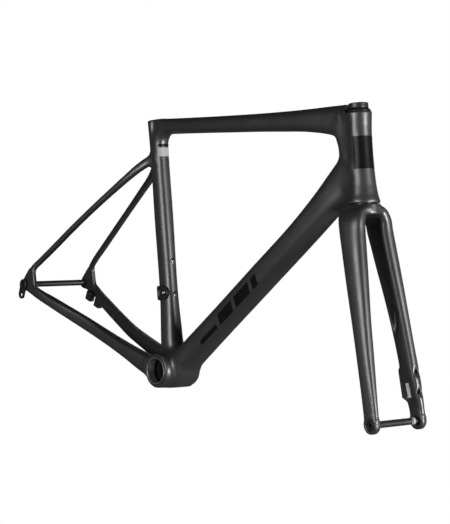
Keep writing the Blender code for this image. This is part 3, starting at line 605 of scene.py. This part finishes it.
# Across, height, forward, thickness, depth and power, out from the middle of the crown.
CROWN = (
    (0, -9.3, -4.5, 18, 64, 3.6), (14, -10, -4.4, 19.5, 63, 3.4),
    (25, -15.5, -3, 22, 58, 3.0), (31.5, -28, -0.5, 25.5, 54, 2.8),
    (33.4, -46, 1.3, 28, 51.5, 2.6), (35.16, -66.2, 4.14, 28.5, 49, 2.6),
)


def fork_stations():
    """One path for the whole fork: up the right blade, over the crown and down the left blade."""
    rows = [(f, -y, s, deep, wide, p) for s, f, y, wide, deep, p in reversed(RIGHT_BLADE)]
    rows += [(f, -y, s, deep, thick, p) for y, s, f, thick, deep, p in reversed(CROWN[1:])]
    rows += [(f, y, s, deep, thick, p) for y, s, f, thick, deep, p in CROWN]
    rows += [(f, y, s, deep, wide, p) for s, f, y, wide, deep, p in LEFT_BLADE]
    return [(*at_head(*row[:3]), *row[3:]) for row in rows]


def fork_field():
    """The moulded fork: crown, blades, tips and the brake mount on the left blade."""
    field = Field((390, -80, 46), (616, 80, 432), FORK_VOXEL)
    x, z = FRONT_AXLE
    field.join(tube(fork_stations(), across=HEAD_FORWARD, spacing=3.0), 0)
    field.join(drum(at_head(0, 0, -9), HEAD_UP, 28.0, 9.0, edge=0.8), 4)
    for side in (1, -1):
        field.join(drum((x, side * 56, z), ACROSS, 15.4, 6.0, edge=2.5), 6)
    pad = prism(((-1.8, -23), (11, -32), (11, 31), (-1.8, 26)), 44.7, 59.7, edge=1.8,
                frame=(BRAKE_PAD, PAD_FORWARD, PAD_UP))
    field.join(pad, 5)
    for height in BRAKE_BOLT_HEIGHTS:
        bottom = 34.5 + (BRAKE_BOLT_HEIGHTS[0] - height) * 0.12 + 17
        field.carve(drum(at_head(bottom + 6, 52.4, height), HEAD_FORWARD, 6.5, 7.5, edge=2.0), 5)
        field.carve(drum(at_head(bottom - 4, 52.4, height), HEAD_FORWARD, 3.6, 8), 0.5)
    field.carve(ball(at_head(20, 33, -199), (HEAD_UP * 26, HEAD_FORWARD * 8, ACROSS * 7.5)), 3)
    field.carve(drum((x, 56, z), ACROSS, AXLE_HOLE, 12), 0)
    field.carve(drum((x, -56, z), ACROSS, 9.2, 12), 0)
    field.carve(drum((572, -60, 87.5), ACROSS, 1.7, 5), 0.5)
    return field


def ball(centre, axes):
    """A ball stretched along three square directions, each as long as that half axis."""
    centre, axes = np.array(centre, float), np.array(axes, float)
    sizes = np.linalg.norm(axes, axis=1)

    def distance(points):
        local = (points - centre) @ (axes / (sizes**2)[:, None]).T
        radius = np.linalg.norm(local, axis=1)
        slope = np.linalg.norm(local / sizes, axis=1)
        return radius * (radius - 1) / np.maximum(slope, 1e-6)

    reach = np.abs(axes).sum(axis=0)
    return distance, centre - reach, centre + reach


# ---------------- turned and machined pieces


def rounded_loop(corners, radius):
    """A closed outline of radius and height with its corners eased, except on the axis."""
    corners = [np.array(c, float) for c in corners]
    out = []
    for i, corner in enumerate(corners):
        back = corners[i - 1] - corner
        ahead = corners[(i + 1) % len(corners)] - corner
        sizes = np.linalg.norm(back), np.linalg.norm(ahead)
        if corner[0] < 1e-6 or min(sizes) < 1e-6:
            out.append(corner)
            continue
        reach = min(radius, 0.45 * min(sizes))
        p, q = corner + back / sizes[0] * reach, corner + ahead / sizes[1] * reach
        out += [p * (1 - t) ** 2 + 2 * corner * t * (1 - t) + q * t * t for t in (0, 0.33, 0.67, 1)]
    return np.array(out)


def turned(name, origin, axis, outline, finish, body, ease=0.35, steps=72, socket=0.0):
    """An outline of radius and height turned about an axis; radii up to socket are six-sided."""
    axis = np.array(axis, float) / np.linalg.norm(axis)
    first = np.cross(axis, (0.31, 0.2, 0.93))
    first /= np.linalg.norm(first)
    second = np.cross(axis, first)
    loop = rounded_loop(outline, ease)
    angle = 2 * math.pi * np.arange(steps) / steps
    hexed = 1 / np.cos((angle + math.pi / 6) % (math.pi / 3) - math.pi / 6)
    radius = loop[:, :1] * np.where(loop[:, :1] <= socket + 1e-6, hexed, 1.0)
    points = (
        np.array(origin, float)
        + (radius * np.cos(angle))[:, :, None] * first
        + (radius * np.sin(angle))[:, :, None] * second
        + loop[:, 1][:, None, None] * axis
    )
    count = len(loop)
    index = np.arange(count * steps).reshape(count, steps)
    down, turn = np.roll(index, -1, axis=0), np.roll(index, -1, axis=1)
    faces = np.stack((index, turn, np.roll(down, -1, axis=1), down), axis=-1).reshape(-1, 4)
    return crisp(mesh_object(name, points.reshape(-1, 3), faces, finish, body))


def crisp(piece):
    """Closes a piece's seams, turns its faces outward and keeps its edges sharp."""
    mesh = bmesh.new()
    mesh.from_mesh(piece.data)
    bmesh.ops.remove_doubles(mesh, verts=mesh.verts, dist=1e-7)
    bmesh.ops.recalc_face_normals(mesh, faces=mesh.faces)
    mesh.to_mesh(piece.data)
    mesh.free()
    piece.data.shade_smooth()
    piece.data.set_sharp_from_angle(angle=CRISP_ANGLE)
    return piece


def moulded(name, field, finish, body, replaced):
    """A piece from a field, standing for CAD nodes."""
    points, faces = surface(field)
    piece = mesh_object(name, points, faces, finish, body)
    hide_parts(*replaced)
    return piece


def build_hanger():
    """The derailleur hanger outside the right dropout, with its axle hole and its eye."""
    x, z = REAR_AXLE
    field = Field((x - 20, -87, z - 38), (x + 20, -76, z + 18), FINE_VOXEL)
    outline = ((x, z + 1), (x + 0.5, z), (x - 2, z - 22), (x - 2.5, z - 21))
    field.join(prism(outline, -84.3, -79.3, edge=1.0, grow=8.2), 0)
    field.join(drum((x, -81.8, z), ACROSS, 11.0, 2.5, edge=1.0), 3)
    field.carve(drum((x, -82, z), ACROSS, 6.3, 8), 0.6)
    field.carve(drum((x - 2, -82, z - 22), ACROSS, 4.5, 8), 0.6)
    moulded("hanger", field, BLACK, "frame", ["derailleur_hanger"])


def build_derailleur_mount():
    """The D-shaped plate on the right of the seat tube, and its bolt."""
    middle = SEAT_ORIGIN + SEAT_UP * 149
    frame = (middle, SEAT_FORWARD, SEAT_UP)
    field = Field((-66, -21, 118), (-20, -8, 163), FINE_VOXEL)
    back = prism(((-11, 10), (-11, -10), (-10, -10), (-10, 10)), -17.8, -11, 0.8, 4.0, frame)
    field.join(back, 0)
    field.join(drum(middle + SEAT_FORWARD * 1.5 - ACROSS * 14.4, ACROSS, 14.0, 3.4, edge=0.8), 1)
    field.carve(prism(((-9, 5), (-9, -5), (-4, -5), (-4, 5)), -20, -16.6, 0.6, 1.0, frame), 0.6)
    field.carve(drum(middle + SEAT_FORWARD * 6.5 - ACROSS * 17.5, ACROSS, 4.6, 1.2), 0.5)
    field.carve(straight_tube(SEAT_ORIGIN, SEAT_UP, SEAT_TUBE[1:4]), 0)
    moulded("derailleur_plate", field, BLACK, "frame", ["front_derailleur_mount"])
    outline = (
        (0, 3.4), (2.0, 3.4), (2.0, 4.6), (3.8, 4.6),
        (3.8, 1.4), (2.4, 1.4), (2.4, -6.6), (0, -6.6),
    )
    place = middle + SEAT_FORWARD * 6.5 - ACROSS * 15.2
    bolt = turned("derailleur_plate_bolt", place, -ACROSS, outline, STEEL, "frame", socket=2.0)
    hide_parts("front_derailleur_bolt")


def build_brake_bosses():
    """Two bosses under the left chainstay, each with a bolt hole."""
    field = Field((-390, 52, 30), (-322, 80, 76), 0.9)
    for x, y, z in BOSSES:
        middle = np.array((x, y, z))
        frame = (middle * (1, 0, 1), BOSS_FORWARD, BOSS_UP)
        outline = ((-8, -5.5), (8, -5.5), (8, 14), (-8, 14))
        field.join(prism(outline, y - 7.5, y + 7.0, edge=3.0, frame=frame), 4)
        field.carve(drum(middle, BOSS_UP, 2.8, 9.0), 0.8)
        field.carve(drum(middle - BOSS_UP * 6, BOSS_UP, 4.6, 1.6), 0.8)
    replaced = ["rear_brake_boss_rear", "rear_brake_boss_front"]
    moulded("brake_bosses", field, PAINT, "frame", replaced)


def build_collar():
    """The split collar on the steerer."""
    low, high = at_head(-24, -20, 160) - 6, at_head(24, 20, 178) + 6
    field = Field(np.minimum(low, high), np.maximum(low, high), 0.7)
    middle = at_head(0, 0, 169.1)
    field.join(drum(middle, HEAD_UP, 17.0, 4.5, edge=0.8), 0)
    field.carve(drum(middle, HEAD_UP, 16.2, 0.5), 0.3)
    field.join(drum(middle, HEAD_UP, 16.3, 3.0), 0)
    field.carve(drum(middle, HEAD_UP, 14.6, 9), 0.4)
    split = ((-22, 150), (-12, 150), (-12, 190), (-22, 190))
    field.carve(prism(split, -1, 1, frame=(CROWN_RACE, HEAD_FORWARD, HEAD_UP)), 0.3)
    moulded("steerer_clamp", field, BLACK, "fork", ["steerer_collar"])


def threaded_bore(low, high, bore, pitch=1.3, depth=0.5):
    """The inner side of a threaded ring, from its top to its bottom."""
    heights = np.arange(high - 1.2, low + 0.8, -pitch / 2)
    return [(bore + depth * (i % 2), height) for i, height in enumerate(heights)]


def build_sleeves():
    """The threaded sleeve in each end of the bottom bracket shell."""
    low, high = SHELL_HALF - 15.7, SHELL_HALF + 0.6
    outline = [(SLEEVE_RADIUS, low), (SLEEVE_RADIUS, high), (SLEEVE_BORE + 0.6, high)]
    outline += threaded_bore(low, high, SLEEVE_BORE) + [(SLEEVE_BORE, low)]
    for side, sign in (("left", 1), ("right", -1)):
        facing = ACROSS * sign
        sleeve = turned(side + "_sleeve", (0, 0, 0), facing, outline, SILVER, "frame", 0.25, 96)
        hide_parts(side + "_bottom_bracket_sleeve")


def build_headset():
    """The cover over the upper bearing and the top of the steerer."""
    cover = (
        (17.4, 164.2), (19.4, 162.6), (21.2, 159.8), (21.2, 158.8), (14.6, 158.8), (14.6, 164.2),
    )
    lid = turned("top_cover", CROWN_RACE, HEAD_UP, cover, BLACK, "fork", 0.5, 96)
    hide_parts("headset_cover")
    steerer = (
        (14.3, 174), (14.3, 95), (17.6, 30), (19.8, 8.6), (19.8, -14), (16.4, -14), (16.4, 8),
        (15, 30), (11.5, 95), (11.5, 174),
    )
    column = turned("steerer", CROWN_RACE, HEAD_UP, steerer, CARBON, "fork", 0.5, 96)
    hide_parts("steerer_tube")


def build_axles():
    """Both thru axles, hollow, with a six-sided socket in each head."""
    for name, (x, z), low, high in (
        ("front_axle", FRONT_AXLE, -61.0, 62.0), ("rear_axle", REAR_AXLE, -83.6, 79.0)
    ):
        outline = [(8.8, high + 3.4), (9.2, high + 2.4), (9.2, high + 0.3)]
        outline += [(AXLE_RADIUS, high + 0.3), (AXLE_RADIUS, low + 13)]
        outline += [(AXLE_RADIUS - 0.5 * (i % 2), low + 12.4 - 0.6 * i) for i in range(18)]
        outline += [(5.2, low), (3.0, low), (3.0, high + 3.4)]
        body = name.replace("axle", "thru_axle")
        axle = turned(name + "_bar", (x, 0, z), ACROSS, outline, BLACK, body, socket=3.0)
        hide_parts(name)
    x, z = FRONT_AXLE
    for i, (start, end) in enumerate(((36.0, 37.2), (39.0, 43.5))):
        band = ((5.9, start), (6.12, start), (6.12, end), (5.9, end))
        name = f"axle_band_{i + 1}"
        turned(name, (x, 0, z), ACROSS, band, PALE, "front_thru_axle", 0.05)
    ring = ((9.0, 50.4), (9.0, 61.4), (6.3, 61.4), (6.3, 50.4))
    insert = turned("axle_thread_ring", (x, 0, z), -ACROSS, ring, BLACK, "fork")
    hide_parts("front_axle_insert")


def build_bottle_bolts():
    """Button-head bolts with their inserts, on the seat tube and on the down tube."""
    bolt = (
        (0, 2.4), (1.7, 2.4), (1.7, 4.2), (3.2, 3.8), (4.4, 2.8),
        (4.5, 1.7), (2.4, 1.7), (2.4, -7), (0, -7),
    )
    insert = ((4.4, 1.4), (5.3, 1.0), (5.3, -0.6), (3.7, -0.6), (3.7, -9), (2.7, -9), (2.7, 1.4))
    seat_line = (SEAT_ORIGIN, SEAT_UP, SEAT_FORWARD)
    down_line = (DOWN_ORIGIN, DOWN_ALONG, DOWN_SQUARE)
    for name, (origin, along, normal), distance, height in (
        ("seat_tube_lower_bottle", seat_line, 145, 19.425),
        ("seat_tube_upper_bottle", seat_line, 209, 19.233),
        ("down_tube_lower_bottle", down_line, 215, 24.0),
        ("down_tube_upper_bottle", down_line, 279, 24.0),
    ):
        middle = origin + along * distance + normal * height
        head = turned(name + "_screw", middle, normal, bolt, BLACK, "frame", 0.3, 48, 1.7)
        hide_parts(name + "_bolt")
        nut = turned(name + "_nut", middle, normal, insert, SILVER, "frame", 0.3, 48)
        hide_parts(name + "_insert")


def build_grommet():
    """The hose plug in the inner side of the left chainstay."""
    outline = (
        (0, 1.2), (1.6, 1.2), (2.0, 2.4), (3.6, 2.6), (4.6, 1.6),
        (4.6, 0.6), (4.2, 0.4), (4.2, -2.5), (0, -2.5),
    )
    place, facing = (-250, 41.9, 38.6), (0.17, -1, 0)
    plug = turned("hose_plug", place, facing, outline, RUBBER, "frame", 0.4, 48)
    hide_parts("brake_hose_grommet")


# ---------------- labels


def label(name, field, corners, finish, body, counts, lift=0.28):
    """A thin film laid on a skin between four corners, given round the film."""
    a, b, c, d = (np.array(corner, float) for corner in corners)
    s, t = (np.linspace(0, 1, n) for n in counts)
    s, t = s[:, None, None], t[None, :, None]
    flat = a * (1 - s) * (1 - t) + b * s * (1 - t) + c * s * t + d * (1 - s) * t
    return film(name, field, flat.reshape(-1, 3), counts, finish, body, lift)


def film(name, field, flat, counts, finish, body, lift):
    """A closed film over a grid of points that are first moved onto the skin."""
    upper = field.settle(flat, lift, 5)
    lower = field.settle(upper, -0.4, 3)
    rows, columns = counts
    grid = np.arange(rows * columns).reshape(rows, columns)
    quads = (grid[:-1, :-1], grid[1:, :-1], grid[1:, 1:], grid[:-1, 1:])
    top = np.stack(quads, axis=-1).reshape(-1, 4)
    rim = np.concatenate((grid[0, :], grid[1:, -1], grid[-1, -2::-1], grid[-2:0:-1, 0]))
    ahead, under = np.roll(rim, -1), rows * columns
    side = np.stack((rim, ahead, ahead + under, rim + under), axis=-1)
    faces = np.concatenate((top, top[:, ::-1] + under, side))
    return crisp(mesh_object(name, np.concatenate((upper, lower)), faces, finish, body))


def build_labels(frame_skin, fork_skin):
    """A glossy head badge, tone-on-tone blocks on the down tube and small pale films."""
    angles, heights = np.radians(np.linspace(-88, 88, 40)), np.linspace(60, 116, 16)
    ring = [
        at_head(21 * math.cos(angle), 21 * math.sin(angle), height)
        for angle in angles for height in heights
    ]
    film("head_badge", frame_skin, np.array(ring), (40, 16), GLOSS, "frame", 0.3)
    for i, (start, end, low, high) in enumerate(
        ((120, 176, -18, -8), (186, 232, -18, 3), (242, 290, -18, 3), (300, 316, -18, 3))
    ):
        for side, sign in (("right", -1), ("left", 1)):
            corners = [
                DOWN_ORIGIN + ACROSS * sign * 25.5 + DOWN_ALONG * (d + v * 0.35) + DOWN_SQUARE * v
                for d, v in ((start, low), (end, low), (end, high), (start, high))
            ]
            name = f"down_tube_{side}_block_{i + 1}"
            label(name, frame_skin, corners, GLOSS, "frame", (30, 12), 0.2)
    for name, low, high, finish in (("film", 410, 427, PALE), ("band", 429, 434, GLOSS)):
        ring = [
            SEAT_ORIGIN + SEAT_UP * d
            + SEAT_FORWARD * 19 * math.cos(angle) + ACROSS * 15 * math.sin(angle)
            for angle in np.radians(np.linspace(-52, 52, 30)) for d in np.linspace(low, high, 8)
        ]
        film("seat_tube_" + name, frame_skin, np.array(ring), (30, 8), finish, "frame", 0.25)
    blade = [at_head(f, 44, s) for s, f in ((-307, 31), (-307, 38), (-332, 40), (-332, 33))]
    label("fork_film", fork_skin, blade, WHITE, "fork", (8, 16))


# ---------------- finishes


class Finish:
    """A Principled material built up from procedural nodes in object space."""

    def __init__(self, name, colour, roughness, metallic=0.0, coat=0.0, specular=0.5):
        self.material = bpy.data.materials.new(name)
        self.material.use_nodes = True
        self.nodes, self.links = self.material.node_tree.nodes, self.material.node_tree.links
        self.shader = self.nodes["Principled BSDF"]
        for socket, value in (
            ("Base Color", (*colour, 1)), ("Roughness", roughness), ("Metallic", metallic),
            ("Coat Weight", coat), ("Coat Roughness", 0.25), ("Specular IOR Level", specular),
        ):
            self.shader.inputs[socket].default_value = value
        self.place = self.nodes.new("ShaderNodeTexCoord").outputs["Object"]
        self.colour, self.bump = colour, None

    def noise(self, scale, detail=3.0, stretch=None):
        """Noise with that many features to the metre."""
        place = self.place
        if stretch:
            mapping = self.nodes.new("ShaderNodeMapping")
            mapping.inputs["Scale"].default_value = stretch
            self.links.new(place, mapping.inputs["Vector"])
            place = mapping.outputs["Vector"]
        node = self.nodes.new("ShaderNodeTexNoise")
        node.inputs["Scale"].default_value = scale
        node.inputs["Detail"].default_value = detail
        self.links.new(place, node.inputs["Vector"])
        return node.outputs["Fac"]

    def spread(self, value, low, high, start, end):
        """A value stretched from one range to another."""
        node = self.nodes.new("ShaderNodeMapRange")
        node.inputs["From Min"].default_value, node.inputs["From Max"].default_value = low, high
        node.inputs["To Min"].default_value, node.inputs["To Max"].default_value = start, end
        self.links.new(value, node.inputs["Value"])
        return node.outputs["Result"]

    def tint(self, factor, colour):
        """Turns the colour towards another by a factor."""
        node = self.nodes.new("ShaderNodeMix")
        node.data_type = "RGBA"
        base = self.shader.inputs["Base Color"]
        if base.is_linked:
            self.links.new(base.links[0].from_socket, node.inputs["A"])
        else:
            node.inputs["A"].default_value = (*self.colour, 1)
        node.inputs["B"].default_value = (*colour, 1)
        self.links.new(factor, node.inputs["Factor"])
        self.links.new(node.outputs["Result"], base)

    def mottle(self, noise, low, high, most, colour):
        """Turns the colour towards another where a noise is high."""
        self.tint(self.spread(noise, low, high, 0, most), colour)

    def rough(self, value, low, high):
        """Lets a value move the roughness."""
        self.links.new(self.spread(value, 0.3, 0.7, low, high), self.shader.inputs["Roughness"])

    def relief(self, value, strength, distance):
        """Adds a bump on top of any there already."""
        node = self.nodes.new("ShaderNodeBump")
        node.inputs["Strength"].default_value = strength
        node.inputs["Distance"].default_value = distance
        self.links.new(value, node.inputs["Height"])
        if self.bump:
            self.links.new(self.bump, node.inputs["Normal"])
        self.bump = node.outputs["Normal"]
        self.links.new(self.bump, self.shader.inputs["Normal"])

    def wear(self, colour, low, high, most):
        """Rubbed edges, broken up by noise."""
        geometry = self.nodes.new("ShaderNodeNewGeometry")
        edges = self.spread(geometry.outputs["Pointiness"], low, high, 0, most)
        broken = self.spread(self.noise(160, 5), 0.42, 0.6, 0, 1)
        both = self.nodes.new("ShaderNodeMath")
        both.operation = "MULTIPLY"
        self.links.new(edges, both.inputs[0])
        self.links.new(broken, both.inputs[1])
        self.tint(both.outputs[0], colour)


def painted_carbon():
    """Satin graphite paint with a fine metallic grain."""
    finish = Finish("painted_carbon", PAINT_COLOUR, 0.42, 0.0, 0.05, 0.6)
    finish.mottle(finish.noise(14, 2), 0.35, 0.65, 0.35, [c * 0.8 for c in PAINT_COLOUR])
    finish.mottle(finish.noise(1500, 2), 0.5, 0.75, 0.3, [c * 1.8 for c in PAINT_COLOUR])
    finish.rough(finish.noise(30, 4), 0.36, 0.43)
    finish.relief(finish.noise(160, 2), 0.02, 0.0005)
    finish.wear((0.12, 0.12, 0.125), 0.56, 0.66, 0.12)
    return finish.material


def raw_carbon():
    """Bare carbon: a fine crossed weave under a satin coat."""
    finish = Finish("raw_carbon", (0.012, 0.012, 0.013), 0.35, 0.2, 0.4)
    for stretch in ((1, 1, 0.12), (0.12, 1, 1)):
        finish.mottle(finish.noise(700, 1, stretch), 0.45, 0.65, 0.5, (0.035, 0.035, 0.037))
    finish.rough(finish.noise(60, 3), 0.28, 0.42)
    finish.relief(finish.noise(900, 2), 0.08, 0.0003)
    return finish.material


def metal(name, colour, low, high, grain, wear_colour, metallic=1.0):
    """Turned metal: grain, a little smudging and rubbed edges."""
    finish = Finish(name, colour, low, metallic)
    finish.mottle(finish.noise(90, 4), 0.4, 0.7, 0.4, [c * 0.6 for c in colour])
    finish.rough(finish.noise(240, 4), low, high)
    finish.relief(finish.noise(grain, 3, (1, 3, 1)), 0.008, 0.0002)
    finish.wear(wear_colour, 0.54, 0.64, 0.3)
    return finish.material


def rubber():
    """Dull black rubber with a bloom."""
    finish = Finish("rubber", (0.016, 0.016, 0.016), 0.75)
    finish.mottle(finish.noise(120, 4), 0.45, 0.75, 0.4, (0.05, 0.05, 0.048))
    finish.rough(finish.noise(300, 3), 0.65, 0.85)
    finish.relief(finish.noise(1100, 3), 0.2, 0.0003)
    return finish.material


def film_finish(name, colour, low, high):
    """A printed film with slight scuffs."""
    finish = Finish(name, colour, low, specular=0.1)
    finish.mottle(finish.noise(200, 5), 0.5, 0.75, 0.3, [c * 0.7 + 0.01 for c in colour])
    finish.rough(finish.noise(120, 5), low, high)
    finish.relief(finish.noise(500, 2), 0.04, 0.0003)
    return finish.material


# ---------------- studio and camera

CAMERA_PLACE = Vector((2.58971, -2.23503, 0.86402))
CAMERA_AZIMUTH, CAMERA_ELEVATION, CAMERA_ROLL = 48.0224, 10.636, 7.956
CAMERA_LENS = 126.10


def build_camera():
    """The camera, from its bearing round the frame, its height angle and its roll."""
    azimuth, elevation, roll = (
        math.radians(a) for a in (CAMERA_AZIMUTH, CAMERA_ELEVATION, CAMERA_ROLL)
    )
    flat = math.cos(elevation)
    back = Vector((math.sin(azimuth) * flat, -math.cos(azimuth) * flat, math.sin(elevation)))
    level = Vector((math.cos(azimuth), math.sin(azimuth), 0))
    upright = back.cross(level)
    right = level * math.cos(roll) + upright * math.sin(roll)
    up = back.cross(right)
    data = bpy.data.cameras.new("camera")
    data.lens, data.sensor_width = CAMERA_LENS, 36
    data.clip_start, data.clip_end = 0.1, 50
    camera = bpy.data.objects.new("camera", data)
    axes = Matrix((right, up, back)).transposed().to_4x4()
    camera.matrix_world = Matrix.Translation(CAMERA_PLACE) @ axes
    bpy.context.scene.collection.objects.link(camera)
    bpy.context.scene.camera = camera


def softbox(name, place, target, width, height, power):
    """A rectangular light that faces a point."""
    data = bpy.data.lights.new(name, "AREA")
    data.shape, data.size, data.size_y, data.energy = "RECTANGLE", width, height, power
    light = bpy.data.objects.new(name, data)
    light.location = place
    light.rotation_euler = (Vector(target) - Vector(place)).to_track_quat("-Z", "Y").to_euler()
    light.visible_camera = False
    bpy.context.scene.collection.objects.link(light)


def seen_white(tree, other, output):
    """White to the camera's own rays, and another shader to everything else."""
    nodes, links = tree.nodes, tree.links
    path, mix = nodes.new("ShaderNodeLightPath"), nodes.new("ShaderNodeMixShader")
    glow = nodes.new("ShaderNodeEmission")
    links.new(path.outputs["Is Camera Ray"], mix.inputs[0])
    links.new(other, mix.inputs[1])
    links.new(glow.outputs[0], mix.inputs[2])
    links.new(mix.outputs[0], nodes[output].inputs["Surface"])


def build_world():
    """White behind the object, and a dim grey light from all round."""
    world = bpy.data.worlds.new("studio")
    bpy.context.scene.world = world
    world.use_nodes = True
    fill = world.node_tree.nodes["Background"]
    fill.inputs["Color"].default_value = (1, 1, 1, 1)
    fill.inputs["Strength"].default_value = 0.02
    seen_white(world.node_tree, fill.outputs[0], "World Output")


def build_floor(height):
    """A plain pale floor."""
    mesh = bpy.data.meshes.new("floor")
    half = 12.0
    corners = [(x * half, y * half, height) for x, y in ((-1, -1), (1, -1), (1, 1), (-1, 1))]
    mesh.from_pydata(corners, [], [(0, 1, 2, 3)])
    floor = bpy.data.objects.new("floor", mesh)
    bpy.context.scene.collection.objects.link(floor)
    material = bpy.data.materials.new("pale_floor")
    material.use_nodes = True
    shader = material.node_tree.nodes["Principled BSDF"]
    shader.inputs["Base Color"].default_value = (0.16, 0.16, 0.16, 1)
    shader.inputs["Roughness"].default_value = 0.9
    seen_white(material.node_tree, shader.outputs[0], "Material Output")
    mesh.materials.append(material)


def build_studio(low):
    """Floor, lights and view settings."""
    bpy.context.scene.view_settings.view_transform = "Standard"
    build_world()
    build_floor(low[2] - 0.02)
    target = (0.05, 0, 0.25)
    softbox("side_light", (0.2, -3.2, 0.6), (0.15, 0, 0.25), 2.1, 1.1, 98)
    softbox("front_light", (3.3, 0.6, 0.45), target, 0.8, 1.4, 260)
    softbox("far_light", (-1.5, 3.0, 0.9), target, 2.0, 1.2, 22)


# ---------------- the whole scene


def build_skins():
    """The moulded frame and fork, standing for their CAD tubes."""
    frame_skin, fork_skin = frame_field(), fork_field()
    names = ["head_tube", "top_tube", "down_tube", "seat_tube", "bottom_bracket_shell"]
    for part in ("chainstay", "seatstay", "rear_dropout"):
        names += [f"{side}_{part}" for side in ("left", "right")]
    moulded("moulded_frame", frame_skin, PAINT, "frame", names)
    names = ["fork_crown", "left_fork_blade", "right_fork_blade", "left_fork_brake_mount",
             "front_brake_seat", "left_fork_tip", "right_fork_tip"]
    moulded("moulded_fork", fork_skin, PAINT, "fork", names)
    return frame_skin, fork_skin


def finish_nodes(parts):
    """Gives each CAD node its slot's finish."""
    for part in parts["record"]["subparts"]:
        node = parts["nodes"][part["node"]]
        node.data.materials.clear()
        node.data.materials.append(FINISHES[part["material_slot"]])


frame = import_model()
cad_low, cad_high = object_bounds()

PAINT = painted_carbon()
CARBON = raw_carbon()
BLACK = metal("black_alloy", (0.012, 0.012, 0.013), 0.34, 0.44, 500, (0.12, 0.12, 0.12), 0.3)
SILVER = metal("silver_alloy", (0.5, 0.51, 0.52), 0.25, 0.4, 600, (0.7, 0.7, 0.7))
STEEL = metal("steel", (0.58, 0.58, 0.58), 0.2, 0.35, 700, (0.75, 0.75, 0.75))
RUBBER = rubber()
GLOSS = film_finish("gloss_film", (0.003, 0.003, 0.003), 0.3, 0.4)
PALE = film_finish("pale_film", (0.24, 0.24, 0.235), 0.35, 0.5)
WHITE = film_finish("white_film", (0.75, 0.75, 0.74), 0.35, 0.5)
FINISHES = {
    "painted_carbon": PAINT, "raw_carbon": CARBON, "black_alloy": BLACK, "silver_alloy": SILVER,
    "steel": STEEL, "rubber": RUBBER,
}

build_camera()
build_studio(cad_low)
frame_skin, fork_skin = build_skins()
build_hanger()
build_derailleur_mount()
build_brake_bosses()
build_collar()
build_sleeves()
build_headset()
build_axles()
build_bottle_bolts()
build_grommet()
build_labels(frame_skin, fork_skin)
finish_nodes(frame)
